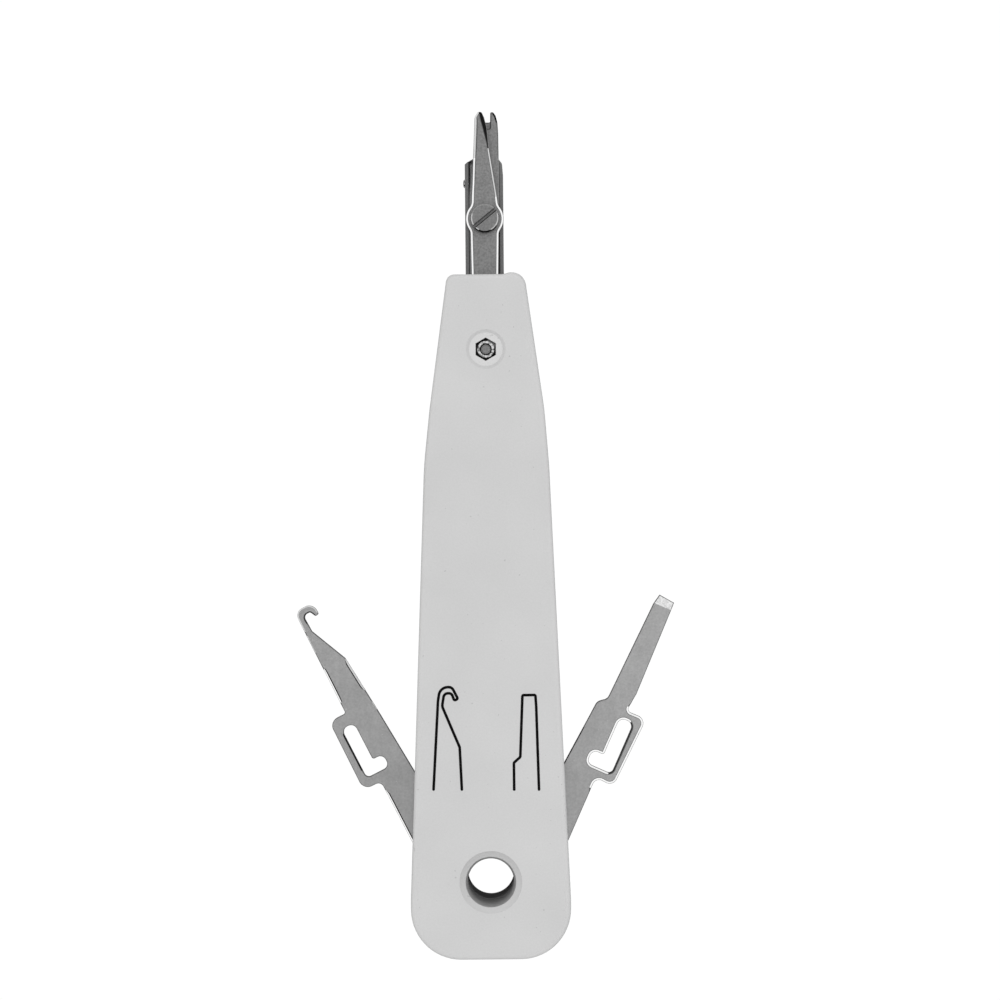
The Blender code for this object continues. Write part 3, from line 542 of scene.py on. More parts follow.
class Shader:
    """A small builder for one Principled material."""

    def __init__(self, name, roughness, metallic=0.0, specular=0.5):
        self.material = bpy.data.materials.new(name)
        self.material.use_nodes = True
        self.tree = self.material.node_tree
        self.main = self.tree.nodes["Principled BSDF"]
        self.main.inputs["Roughness"].default_value = roughness
        self.main.inputs["Metallic"].default_value = metallic
        self.main.inputs["Specular IOR Level"].default_value = specular
        self.spot = self.tree.nodes.new("ShaderNodeTexCoord").outputs["Object"]

    def node(self, kind, **settings):
        made = self.tree.nodes.new(kind)
        for key, value in settings.items():
            setattr(made, key, value)
        return made

    def link(self, source, target):
        self.tree.links.new(source, target)

    def stretched(self, scale, turn=0.0):
        """Object coordinates scaled per axis, for grain that runs one way."""
        mapping = self.node("ShaderNodeMapping")
        mapping.inputs["Scale"].default_value = scale
        mapping.inputs["Rotation"].default_value = (0.0, 0.0, math.radians(turn))
        self.link(self.spot, mapping.inputs["Vector"])
        return mapping.outputs["Vector"]

    def noise(self, scale, detail=3.0, vector=None, roughness=0.5):
        made = self.node("ShaderNodeTexNoise")
        made.inputs["Scale"].default_value = scale
        made.inputs["Detail"].default_value = detail
        made.inputs["Roughness"].default_value = roughness
        self.link(vector or self.spot, made.inputs["Vector"])
        return made.outputs["Fac"]

    def ramp(self, source, stops):
        """A grey from a factor, by (position, grey) stops."""
        made = self.node("ShaderNodeValToRGB")
        fill_ramp(made, stops)
        self.link(source, made.inputs["Fac"])
        return made.outputs["Color"]

    def product(self, first, second):
        made = self.node("ShaderNodeMix", data_type="RGBA", blend_type="MULTIPLY")
        made.inputs["Factor"].default_value = 1.0
        self.link(first, made.inputs["A"])
        self.link(second, made.inputs["B"])
        return made.outputs["Result"]

    def along_y(self, low, high, first, second):
        """A grey that goes from first at y = low to second at y = high, in millimetres."""
        parts = self.node("ShaderNodeSeparateXYZ")
        self.link(self.spot, parts.inputs[0])
        scale = self.node("ShaderNodeMapRange")
        values = (low * MM, high * MM, first, second)
        for key, value in zip(("From Min", "From Max", "To Min", "To Max"), values):
            scale.inputs[key].default_value = value
        self.link(parts.outputs["Y"], scale.inputs["Value"])
        return scale.outputs["Result"]

    def colour(self, source):
        self.link(source, self.main.inputs["Base Color"])

    def roughness(self, source):
        self.link(source, self.main.inputs["Roughness"])

    def bump(self, *layers):
        """Stacks bumps; a layer is (height source, depth in millimetres, strength)."""
        last = None
        for source, depth, strength in layers:
            made = self.node("ShaderNodeBump")
            made.inputs["Distance"].default_value = depth * MM
            made.inputs["Strength"].default_value = strength
            self.link(source, made.inputs["Height"])
            if last:
                self.link(last, made.inputs["Normal"])
            last = made.outputs["Normal"]
        self.link(last, self.main.inputs["Normal"])


def plastic(name, tone=0.61, roughness=0.48, fade=None):
    """Light grey moulded plastic: fine spark-eroded grain, faint flow marks and a few specks.

    fade paints shade: a (low y, high y, share) along which the tone grows lighter downward by that share.
    """
    made = Shader(name, roughness, specular=0.42)
    cloud = made.ramp(made.noise(55.0, 4.0), [(0.3, tone * 0.965), (0.7, tone * 1.02)])
    grain = made.ramp(made.noise(2600.0, 2.0), [(0.35, 0.965), (0.65, 1.0)])
    specks = made.ramp(made.noise(1300.0, 1.0, roughness=0.3), [(0.2, 0.8), (0.235, 1.0)])
    tones = made.product(made.product(cloud, grain), specks)
    if fade:
        tones = made.product(tones, made.along_y(fade[0], fade[1], 1.0 + fade[2], 1.0))
    made.colour(tones)
    made.roughness(made.ramp(made.noise(900.0, 3.0), [(0.3, roughness - 0.06), (0.7, roughness + 0.06)]))
    made.bump(
        (made.noise(2200.0, 3.0), 0.02, 0.35),
        (made.noise(140.0, 2.0), 0.05, 0.12),
    )
    return made.material


def steel(name, tone, roughness=0.34, turn=0.0, streak=0.5, speckle=0.12, metallic=0.6,
          specular=0.5, pitting=(0.3, 0.72)):
    """Satin sheet steel: short streaks along one direction, fine pitting and soft clouding.

    speckle is how dark the pits are, and pitting the noise values between which they fade.
    """
    made = Shader(name, roughness, metallic, specular)
    streaks = made.noise(900.0, 3.0, vector=made.stretched((1.0, 0.09, 1.0), turn))
    pits = made.noise(2400.0, 2.0)
    cloud = made.ramp(made.noise(160.0, 4.0), [(0.3, tone * 0.93), (0.7, tone * 1.05)])
    grain = made.ramp(pits, [(pitting[0], 1.0 - speckle), (pitting[1], 1.0 + speckle * 0.4)])
    lines = made.ramp(streaks, [(0.3, 1.0 - streak * 0.14), (0.7, 1.0)])
    glints = made.ramp(made.noise(1700.0, 1.0, roughness=0.3), [(0.76, 1.0), (0.82, 1.4)])
    made.colour(made.product(made.product(made.product(cloud, grain), lines), glints))
    made.roughness(made.ramp(made.noise(500.0, 3.0), [(0.3, roughness - 0.06), (0.75, roughness + 0.1)]))
    made.bump(
        (streaks, 0.01, 0.25 * streak),
        (pits, 0.012, 0.3),
    )
    return made.material


def bright(name, tone=0.86, roughness=0.16):
    """A ground or polished steel edge with a painted highlight: bright, with fine grinding lines."""
    made = Shader(name, roughness, metallic=1.0)
    lines = made.noise(2600.0, 2.0, vector=made.stretched((1.0, 0.2, 1.0)))
    made.colour(made.ramp(lines, [(0.3, tone * 0.93), (0.7, tone)]))
    made.roughness(made.ramp(made.noise(800.0, 2.0), [(0.3, roughness * 0.8), (0.7, roughness * 1.4)]))
    made.bump((lines, 0.006, 0.2))
    return made.material


def ink(name):
    """Matt black pad printing, a little thin in places."""
    made = Shader(name, 0.6, specular=0.06)
    made.colour(made.ramp(made.noise(1500.0, 3.0), [(0.3, 0.001), (0.75, 0.004)]))
    made.roughness(made.ramp(made.noise(1200.0, 2.0), [(0.3, 0.5), (0.7, 0.65)]))
    made.bump((made.noise(2500.0, 2.0), 0.008, 0.3))
    return made.material


SHELL_PLASTIC = plastic("shell plastic")
# Painted shade on the hanging hole's dish slope, darker at its top and lighter toward its bottom.
DISH_PAINTED_SHADE_PLASTIC = plastic("dish painted shade plastic", tone=0.49, fade=(HOLE.y - 6.5, HOLE.y + 4.0, 0.18))
# Painted shade on the nut dish's sloping rim.
NUT_DISH_PAINTED_SHADE_PLASTIC = plastic("nut dish painted shade plastic", tone=0.56)
# A painted lighter tone on the nut dish's floor.
DISH_FLOOR_PAINTED_LIGHT_PLASTIC = plastic("dish floor painted light plastic", tone=0.66)
# Painted shade inside the hanging hole: the front shell's wall dark grey, the rear shell's darker.
BORE_PAINTED_SHADE_PLASTIC = plastic("bore painted shade plastic", tone=0.33, roughness=0.6)
REAR_BORE_PAINTED_SHADE_PLASTIC = plastic("rear bore painted shade plastic", tone=0.2, roughness=0.6)
HOOK_STEEL = steel("hook steel", 0.45, turn=HOOK_ANGLE)
BLADE_STEEL = steel("blade steel", 0.5, turn=-BLADE_ANGLE)
CUTTER_STEEL = steel("cutter steel", 0.315, roughness=0.36, speckle=0.28)
INSERTER_STEEL = steel("inserter steel", 0.35, roughness=0.36, speckle=0.2)
CHANNEL_STEEL = steel("channel steel", 0.21, roughness=0.42, speckle=0.15)
SCREW_STEEL = steel("screw steel", 0.285, roughness=0.3, streak=0.2, speckle=0.25)
# Plated steel; the slotted screw also takes it for a painted highlight arc.
PLATED_AND_HIGHLIGHT_STEEL = steel("plated steel and highlight", 0.62, roughness=0.22, streak=0.2, speckle=0.15, metallic=0.85)
SPRING_STEEL = steel("spring steel", 0.42, roughness=0.3, streak=0.3)
NUT_STEEL = steel("nut steel", 0.72, roughness=0.28, streak=0.2, speckle=0.75, pitting=(0.4, 0.58))
# Painted highlights on the edge strips: the polished and ground edges are lit brighter than the steel.
POLISHED_HIGHLIGHT_STEEL = bright("polished edge highlight", tone=0.97)
GROUND_HIGHLIGHT_STEEL = bright("ground edge highlight", tone=0.72, roughness=0.28)
# Painted shade: a dark line along edges, and black for shadowed strips, slots, chamfers and crescents.
PAINTED_SHADOW_LINE_STEEL = steel("painted shadow line", 0.13, roughness=0.4)
BLACK_PAINTED_SHADOW_STEEL = steel("painted black shadow", 0.008, roughness=0.6, metallic=0.0, specular=0.06)
SHADED_STEEL = steel("shaded edge", 0.24, roughness=0.4, speckle=0.3)
TIP_STEEL = steel("ground tip", 0.9, roughness=0.3, speckle=0.3, turn=-BLADE_ANGLE)
INK = ink("black print")


def flat_materials(face):
    """The materials of a flat piece, in the order of their numbers."""
    return [face, face, POLISHED_HIGHLIGHT_STEEL, GROUND_HIGHLIGHT_STEEL, PAINTED_SHADOW_LINE_STEEL, BLACK_PAINTED_SHADOW_STEEL]


# ---------------------------------------------------------------- handle shells


def smooth_lip(outer, face_z, depth, side=1):
    """The mouth of a turned cutter: a small round lip from above a face down to depth.

    side is 1 for a mouth in an upper face and -1 for one in a lower face.
    """
    lip = MOUTH_ROUND
    round_lip = [(outer + lip - lip * math.sin(a), face_z - side * lip * (1 - math.cos(a)))
                 for a in quarter(4)]
    return [(outer + lip, face_z + side)] + round_lip + [(outer, face_z - side * depth)]


def hole_cutter(name):
    """The hanging hole: a shallow sloping dish round it, a round rim and walls with draft."""
    dish_r = 6.45
    slope_depth = 0.42
    round_r = 0.3
    front_r = 4.82
    rear_r = 4.8

    def mouth(face_z, side, rim_r):
        slope = [(dish_r + 0.08, face_z), (dish_r - 0.06, face_z - side * 0.12)]
        slope += [(rim_r + round_r, face_z - side * slope_depth)]
        rim = [(rim_r + round_r - round_r * math.sin(a),
                face_z - side * (slope_depth + round_r * (1 - math.cos(a)))) for a in quarter(5, 1)]
        return [(0.0, face_z + side), (dish_r + 0.08, face_z + side)] + slope + rim

    edge = 0.05
    profile = mouth(FACE_Z, 1, 5.2)
    profile += [(front_r, FACE_Z - 1.5), (front_r, PARTING_FRONT_Z + edge)]
    profile += [(front_r + edge, PARTING_FRONT_Z)]
    profile += [(rear_r + edge, PARTING_REAR_Z), (rear_r, PARTING_REAR_Z - edge)]
    profile += list(reversed(mouth(REAR_Z, -1, 4.93)))
    return turned(name, profile, HOLE_AT)


def nut_dish_cutter(name):
    """The shallow round dish that the nut's pocket opens into."""
    top = FACE_Z
    profile = [(0.0, top + 1), (DISH_R + 0.1, top + 1), (DISH_R + 0.1, top)]
    profile += [(DISH_R - 0.08, top - 0.08), (DISH_R - 0.42, top - DISH_DEPTH + 0.04)]
    profile += [(DISH_R - 0.55, top - DISH_DEPTH), (0.0, top - DISH_DEPTH)]
    return turned(name, profile, NUT_AT)


def nut_pocket_cutter(name):
    """The hexagonal pocket, whose mouth has a small round lip, as one closed prism."""
    floor_z = NUT_LOW.z - 0.3
    mouth_z = FACE_Z - DISH_DEPTH
    corner = POCKET_FLATS / math.sqrt(3)
    lip = MOUTH_ROUND
    levels = [(corner, floor_z), (corner, mouth_z - lip), (corner + lip * 0.3, mouth_z - lip * 0.3)]
    levels += [(corner + lip, mouth_z + 0.02), (corner + lip, FACE_Z + 1)]
    return lofted(name, [(hexagon(radius, NUT_SPOT), z) for radius, z in levels])


def shell_blank(name, low, high, face_z, side):
    """A closed half shell with a round outer edge at its face and a hollow inside.

    side is 1 for the front half, whose face is at the top, and -1 for the rear half.
    """
    parting = low if side > 0 else high
    outline = thinned(handle_outline())
    if closed_area(outline) < 0:
        outline.reverse()
    levels = [(PARTING_ROUND, parting), (0.0, parting + side * PARTING_ROUND)]
    levels += [(EDGE_ROUND * (1 - math.cos(a)), face_z - side * EDGE_ROUND * (1 - math.sin(a)))
               for a in quarter(8)]
    bm = bmesh.new()
    rows = [level_ring(bm, inset(outline, [shrink] * len(outline)), z) for shrink, z in levels]
    hollow = thinned(handle_outline(SHELL_WALL))
    hollow_rows = [level_ring(bm, hollow, z) for z in (parting, face_z - side * SHELL_WALL)]
    span_all(bm, rows)
    span_all(bm, hollow_rows)
    for ends in ([rows[-1]], [hollow_rows[-1]], [rows[0], hollow_rows[0]]):
        cap(bm, ends)
    return new_object(name, mesh_from(name, bm))


def slot_cutters(name):
    """The side slots that the fold-out tools swing through."""
    made = []
    for label, side in (("right", 1), ("left", -1)):
        xs = sorted((side * 10.0, side * 22.0))
        low = (xs[0], SLOT_LOW_Y, MID_Z - SLOT_HEIGHT / 2)
        high = (xs[1], SLOT_HIGH_Y, MID_Z + SLOT_HEIGHT / 2)
        made.append(block(f"{name} {label} slot", low, high))
    return made


def window_cutter(name):
    """The window in the handle's end that the head slides through."""
    half = (CHANNEL_HIGH.x - CHANNEL_LOW.x) / 2 + 0.6
    top = node_box("moving_cutter")[1].z + 0.45
    low = (CHANNEL_X - half, SHOULDER_Y - 6, CHANNEL_LOW.z - 0.5)
    return block(name, low, (CHANNEL_X + half, SHOULDER_Y + 6, top))


def rails(name, low, high):
    """The two ribs that the head slides between."""
    near = (CHANNEL_HIGH.x - CHANNEL_LOW.x) / 2 + RAIL_GAP
    made = []
    for label, side in (("right", 1), ("left", -1)):
        xs = sorted((CHANNEL_X + side * near, CHANNEL_X + side * (near + RAIL_WIDTH)))
        made.append(block(f"{name} {label} rail", (xs[0], RAIL_LOW_Y, low), (xs[1], SHOULDER_Y - 1, high)))
    return made


def mark_bore(shell):
    """The hanging hole's dish and wall, and the nut's dish, take their own materials: painted shade on the slopes
    and walls, and a painted lighter floor in the nut's dish.
    """
    for face in shell.data.polygons:
        away = math.hypot(face.center.x / MM - HOLE.x, face.center.y / MM - HOLE.y)
        height = face.center.z / MM
        face.material_index = 0
        if away < 5.25 and (abs(face.normal.z) < 0.6 or abs(height - MID_Z) < 1.0):
            face.material_index = 2 if height > MID_Z + 1.0 else 3
        elif away < 6.6 and 0.02 < face.normal.z < 0.9999:
            face.material_index = 1
        near_nut = math.hypot(face.center.x / MM - NUT_SPOT.x, face.center.y / MM - NUT_SPOT.y)
        if 3.0 < near_nut < 4.3 and 0.02 < face.normal.z < 0.9999:
            face.material_index = 4
        elif near_nut < 4.0 and face.normal.z > 0.9999 and FACE_Z - 0.5 < height < FACE_Z - 0.2:
            face.material_index = 5


PIVOTS = (("hook", (HOOK_PIVOT.x, HOOK_PIVOT.y, 0.0)), ("blade", (BLADE_PIVOT.x, BLADE_PIVOT.y, 0.0)))
SHELL_MATERIALS = [SHELL_PLASTIC, DISH_PAINTED_SHADE_PLASTIC, BORE_PAINTED_SHADE_PLASTIC, REAR_BORE_PAINTED_SHADE_PLASTIC,
                   NUT_DISH_PAINTED_SHADE_PLASTIC, DISH_FLOOR_PAINTED_LIGHT_PLASTIC]


def finish_shell(shell, node):
    shade(shell)
    mark_bore(shell)
    return settle(shell, "handle", SHELL_MATERIALS, [node])


def front_shell():
    inner = FACE_Z - SHELL_WALL + RIB_REACH
    shell = shell_blank("front_cover", PARTING_FRONT_Z, FACE_Z, FACE_Z, 1)
    boss_z = MID_Z + 1.6
    over_tail = node_box("moving_cutter")[1].z + 0.35
    pad_z = CHANNEL_HIGH.z + 0.3
    adds = rails("front", PARTING_FRONT_Z + 0.2, inner)
    adds += [
        block("front pad", (CHANNEL_X - PAD_HALF, PAD_LOW_Y, pad_z),
              (CHANNEL_X + PAD_HALF, FRONT_PAD_HIGH_Y, inner)),
        rod("front ring", HOLE_RING_R, PARTING_FRONT_Z, inner, HOLE_AT, ROUND_SIDES),
        rod("front nut boss", NUT_BOSS_R, over_tail, inner, NUT_AT),
        rod("front cam boss", CAM_BOSS_R, over_tail, inner, CAM_AT),
    ]
    cuts = [hole_cutter("front hole"), *slot_cutters("front"), window_cutter("front window")]
    for label, at in PIVOTS:
        adds.append(rod(f"front {label} boss", PIVOT_BOSS_R, boss_z - 0.3, inner, at))
        cuts.append(rod(f"front {label} relief", PIVOT_RELIEF_R, MID_Z, boss_z, at))
        cuts.append(rod(f"front {label} bore", PIVOT_BORE_R, MID_Z + 1, FACE_Z - SHELL_WALL, at))
    cuts += [
        rod("front screw bore", SCREW_BORE_R, MID_Z, FACE_Z - 1, NUT_AT),
        rod("front cam bore", CAM_BORE_R, MID_Z, 17.3, CAM_AT),
        nut_dish_cutter("front dish"),
        nut_pocket_cutter("front pocket"),
    ]
    combine(shell, "UNION", adds)
    combine(shell, "DIFFERENCE", cuts)
    return finish_shell(shell, "front_shell")


def rear_shell():
    inner = REAR_Z + SHELL_WALL - RIB_REACH
    shell = shell_blank("rear_cover", REAR_Z, PARTING_REAR_Z, REAR_Z, -1)
    boss_z = MID_Z - 1.05
    bed_z = CHANNEL_LOW.z - 0.3
    adds = rails("rear", inner, PARTING_REAR_Z - 0.2)
    adds += [
        block("rear bed", (CHANNEL_X - PAD_HALF, PAD_LOW_Y, inner),
              (CHANNEL_X + PAD_HALF, REAR_BED_HIGH_Y, bed_z)),
        rod("rear ring", HOLE_RING_R, inner, PARTING_REAR_Z, HOLE_AT, ROUND_SIDES),
    ]
    cuts = [hole_cutter("rear hole"), *slot_cutters("rear"), window_cutter("rear window")]
    for label, at in PIVOTS:
        adds.append(rod(f"rear {label} boss", PIVOT_BOSS_R, inner, boss_z, at))
        cuts.append(rod(f"rear {label} bore", PIVOT_BORE_R, REAR_Z + SHELL_WALL, boss_z + 1, at))
    sink_z = node_box("closing_screw")[0].z + 1.8
    sink = [(0.0, sink_z), (COUNTERBORE_R, sink_z)]
    sink += list(reversed(smooth_lip(COUNTERBORE_R, REAR_Z, 0.4, -1)[:-1])) + [(0.0, REAR_Z - 1)]
    cuts += [
        rod("rear screw bore", SCREW_BORE_R, 1.0, MID_Z, NUT_AT),
        turned("rear counterbore", sink, NUT_AT),
    ]
    combine(shell, "UNION", adds)
    combine(shell, "DIFFERENCE", cuts)
    return finish_shell(shell, "rear_shell")


# ---------------------------------------------------------------- prints on the front face


def path_through(corners):
    """An open path with an arc at each inner corner that has a radius."""
    first = Vector(corners[0][:2])
    last = Vector(corners[-1][:2])
    closed = rounded(corners)
    start = min(range(len(closed)), key=lambda i: (closed[i] - first).length)
    path = closed[start:] + closed[:start]
    end = min(range(len(path)), key=lambda i: (path[i] - last).length)
    return path[:end + 1]


def stroke(path, width):
    """The outline of a pen stroke along an open path, with round ends."""
    half = width / 2
    left = []
    right = []
    for i, spot in enumerate(path):
        ahead = path[min(i + 1, len(path) - 1)] - path[max(i - 1, 0)]
        normal = Vector((-ahead.y, ahead.x)).normalized() * half
        left.append(spot + normal)
        right.append(spot - normal)
    head = math.degrees(math.atan2(*(left[-1] - path[-1]).yx))
    foot = math.degrees(math.atan2(*(right[0] - path[0]).yx))
    head_cap = arc(*path[-1], half, head, head - 180)[1:-1]
    foot_cap = arc(*path[0], half, foot, foot - 180)[1:-1]
    return left + head_cap + list(reversed(right)) + foot_cap


def printed(name, corners, width=0.57):
    outline = stroke(path_through(corners), width)
    piece = layered(name, [outline], FACE_Z - 0.02, FACE_Z + 0.02)
    return settle(shade(piece), "handle", [INK, INK])


def hook_symbol():
    """The outline of the hook's end, printed above the hook's side."""
    corners = [
        (-11.68, -53.52, 0.0),
        (-10.6, -35.1, 3.0),
        (-10.15, -32.25, 1.9),
        (-7.7, -32.2, 1.1),
        (-6.45, -34.65, 0.3),
        (-7.2, -35.05, 0.3),
        (-7.75, -33.5, 0.8),
        (-9.3, -33.5, 0.9),
        (-9.75, -36.2, 1.5),
        (-6.16, -44.77, 1.2),
        (-5.78, -53.57, 0.0),
    ]
    return printed("hook_symbol", corners)


def blade_symbol():
    """The outline of the blade's end, printed above the blade's side."""
    corners = [
        (5.13, -53.67, 0.0),
        (5.11, -48.1, 0.5),
        (6.46, -46.9, 0.4),
        (7.01, -34.03, 0.29),
        (9.72, -34.0, 0.29),
        (9.87, -36.51, 0.0),
        (10.3, -53.71, 0.0),
    ]
    return printed("blade_symbol", corners)


# ---------------------------------------------------------------- fold-out tools


def l_slot(foot_u, foot_v, shaft_u, shaft_v, width):
    """The L-shaped thumb slot: its shaft's middle and end, and its foot's end and lower side."""
    corners = [
        (shaft_u - width / 2, foot_v + width, 0.5),
        (shaft_u - width / 2, shaft_v, 1.4),
        (shaft_u + width / 2, shaft_v, 1.4),
        (shaft_u + width / 2, foot_v, 1.0),
        (foot_u, foot_v, 1.3),
        (foot_u, foot_v + width, 1.3),
    ]
    return rounded(corners)


def hook_outline():
    """The wire hook as (u, v, radius): u outward from its pivot and v along it."""
    corners = [
        (4.05, 0.0, 0.0),
        (4.05, 16.95, 1.2),
        (8.15, 16.95, 2.0),
        (7.95, 33.2, 1.9),
        (4.05, 33.2, 0.5),
        (3.85, 53.5, 6.0),
        (3.745, 57.245, 1.7),
        (-0.5, 57.245, 1.9),
        (-0.55, 54.5, 0.35),
        (0.25, 54.4, 0.3),
        (0.9, 55.68, 0.45),
        (2.5, 55.68, 0.9),
        (2.4, 51.9, 0.6),
        (-1.25, 43.6, 1.2),
        (-2.35, 30.0, 0.0),
        (-3.3, 15.5, 0.0),
    ]
    return rounded(corners) + arc(0.0, 0.0, TOOL_END_R, 172.0, 352.0)


def blade_outline():
    """The pry blade as (u, v, radius): u outward from its pivot and v along it."""
    corners = [
        (4.14, 0.0, 0.0),
        (4.14, 16.9, 1.4),
        (8.3, 16.6, 1.7),
        (9.0, 32.5, 1.7),
        (4.5, 32.4, 0.9),
        (4.95, 36.6, 1.2),
        (4.55, 57.45, 0.0),
        (1.05, GRIND_END, 0.0),
        (0.6, 55.5, 0.0),
        (-0.25, 33.2, 1.5),
        (-2.05, 31.8, 1.8),
        (-2.3, 28.5, 0.0),
        (-3.25, 17.3, 0.0),
    ]
    return rounded(corners) + arc(0.0, 0.0, TOOL_END_R, 172.0, 352.0)


def eased(value, low, high):
    """0 below low, 1 above high, and a smooth rise between them."""
    share = min(1.0, max(0.0, (value - low) / (high - low)))
    return share * share * (3 - 2 * share)


def hook_edge(spot, number):
    """Painted highlights: bright die rolls on the outer edge, a light ground strip inside, a broken light rim on
    the curl; painted shade lines elsewhere.
    """
    u, v = spot
    if number == 1:
        # Painted shade along the slot's outer side.
        painted_rim = eased(u, 5.7, 6.1) * eased(v, 20.0, 21.0) * (1 - eased(v, 29.0, 30.0))
        return mixed(painted_rim, PLAIN_EDGE, ((0.06, 0.22, 0.08), (DARK, DARK, LINE)))
    if number == 2:
        return PLAIN_EDGE
    if (spot - Vector((1.7, 54.9))).length < 1.4:
        return DARK_EDGE
    # A painted highlight round the curl, broken into short pieces.
    if v > 46.0 and (u > 3.0 or v > 54.9):
        painted_rim = ((0.04, 0.22, 0.06), (LINE, LIGHT, FACE))
        share = 0.5 + 0.5 * math.sin(7.0 * (v - u))
        return mixed(max(share, eased(v, 50.0, 54.0)) * eased(v, 46.0, 48.0), PLAIN_EDGE, painted_rim)
    if u < 0.0 and v > 30.0:
        ground = ((0.03, 0.3, 0.22), (LIGHT, LIGHT, DARK))
        nick = ((0.03, 0.12, 0.04), (LIGHT, LIGHT, LINE))
        line = mixed(eased(v, 35.6, 36.6) * (1 - eased(v, 42.6, 43.5)), PLAIN_EDGE, ground)
        return mixed(eased(v, 30.9, 31.4) * (1 - eased(v, 32.6, 33.1)), line, nick)
    above = eased(u, 3.1, 3.5) * eased(v, 35.2, 35.9) * (1 - eased(v, 43.3, 44.3))
    foot = eased(u, 3.5, 3.8) * (1 - eased(v, 13.8, 14.9))
    return mixed(max(above, foot), PLAIN_EDGE, ((0.06, 0.26, 0.24), (LINE, BRIGHT, DARK)))


def blade_edge(spot, number):
    """Painted highlight: a bright die roll round the tab and most of the slot; painted shade on the lower inner
    edge.
    """
    u, v = spot
    if number == 1:
        return mixed(eased(u, 5.9, 6.4), BRIGHT_EDGE, ((0.08, 0.16, 0.2), (LINE, DARK, LINE)))
    if number == 2:
        return PLAIN_EDGE
    if u < -1.5:
        return mixed(1 - eased(v, 22.0, 30.0), PLAIN_EDGE, ((0.05, 0.1, 0.07), (DARK, DARK, LINE)))
    tab = eased(u, 4.0, 4.1) * eased(v, 13.8, 14.4) * (1 - eased(v, 33.0, 34.0))
    return mixed(tab, PLAIN_EDGE, BRIGHT_EDGE)


def subdivided(path, longest=1.0):
    """The path with its long sides split, so that an edge's width can change along them."""
    fine = []
    for a, b in zip(path, path[1:] + path[:1]):
        pieces = max(1, math.ceil((b - a).length / longest))
        fine += [a.lerp(b, k / pieces) for k in range(pieces)]
    return fine


def fold_out_tool(name, outline, slot, side, angle, pivot, node, edge):
    """A flat tool modelled as (u, v) about its pivot, mirrored on the left side and turned out."""
    low, high = node_box(node)
    outlines = [subdivided(thinned(outline)), subdivided(slot), circle(0.0, 0.0, PIVOT_BORE_R)]
    tool = layered(name, outlines, low.z, high.z, edge=edge, back=BACK_CHAMFER)
    if side < 0:
        tool.data.transform(Matrix.Scale(-1.0, 4, (1.0, 0.0, 0.0)))
        tool.data.flip_normals()
    place(tool, pivot, -side * angle)
    return shade(tool)


def hook():
    slot = l_slot(1.0, 18.95, 4.9, 30.6, 2.95)
    tool = fold_out_tool("wire_hook", hook_outline(), slot, -1, HOOK_ANGLE, HOOK_PIVOT,
                         "hook_tool", hook_edge)
    return settle(tool, "hook", flat_materials(HOOK_STEEL), ["hook_tool"])


def grind_tip(tool):
    """Grinds the blade's tip to a slope on its front face."""
    high = node_box("blade_tool")[1]
    along = Vector((math.sin(math.radians(BLADE_ANGLE)), math.cos(math.radians(BLADE_ANGLE)), 0.0))
    hinge = Vector((BLADE_PIVOT.x, BLADE_PIVOT.y, high.z)) + along * GRIND_START
    slope = (along * (GRIND_END - GRIND_START) - Vector((0, 0, GRIND_DROP))).normalized()
    across = Vector((along.y, -along.x, 0.0))
    normal = across.cross(slope).normalized()
    bm = bmesh.new()
    bm.from_mesh(tool.data)
    geometry = list(bm.verts) + list(bm.edges) + list(bm.faces)
    cut = bmesh.ops.bisect_plane(bm, geom=geometry, plane_co=hinge * MM, plane_no=normal,
                                 clear_outer=True, dist=0.0001 * MM)
    rim = [e for e in cut["geom_cut"] if isinstance(e, bmesh.types.BMEdge)]
    made = bmesh.ops.triangle_fill(bm, edges=rim, use_beauty=True)
    ground = [face for face in made["geom"] if isinstance(face, bmesh.types.BMFace)]
    for face in ground:
        face.material_index = DARK + 1
    bmesh.ops.recalc_face_normals(bm, faces=bm.faces)
    rims = bmesh.ops.inset_region(bm, faces=ground, thickness=0.16 * MM, use_even_offset=True)
    # A painted shadow line rims the ground slope, except near where the slope starts.
    for face in rims["faces"]:
        beyond = (face.calc_center_median() - hinge * MM).dot(along) / MM
        face.material_index = LINE if beyond > 0.25 else DARK + 1
    bmesh.ops.recalc_face_normals(bm, faces=bm.faces)
    bm.to_mesh(tool.data)
    bm.free()


def blade():
    slot = l_slot(1.15, 18.9, 5.3, 30.6, 3.1)
    tool = fold_out_tool("pry_blade", blade_outline(), slot, 1, BLADE_ANGLE, BLADE_PIVOT,
                         "blade_tool", blade_edge)
    grind_tip(tool)
    materials = flat_materials(BLADE_STEEL) + [TIP_STEEL]
    return settle(tool, "blade", materials, ["blade_tool"])


# ---------------------------------------------------------------- head


def channel_outline(rise):
    """The sleeve seen from the front; rise lengthens it at the tip end."""
    low, high = CHANNEL_LOW, CHANNEL_HIGH
    top_y = high.y - CHANNEL_FLOOR_RISE + rise
    shoulder_y = CHANNEL_SHOULDER_Y + rise
    return rounded([
        (high.x, low.y, 0.5),
        (high.x, shoulder_y - 2.5, 0.0),
        (high.x - 0.2, shoulder_y, 0.8),
        (high.x - 1.0, top_y, 0.4),
        (low.x + 1.7, top_y, 0.3),
        (low.x + 0.5, shoulder_y + 0.35, 0.5),
        (low.x, shoulder_y - 0.1, 0.25),
        (low.x, low.y, 0.5),
    ])


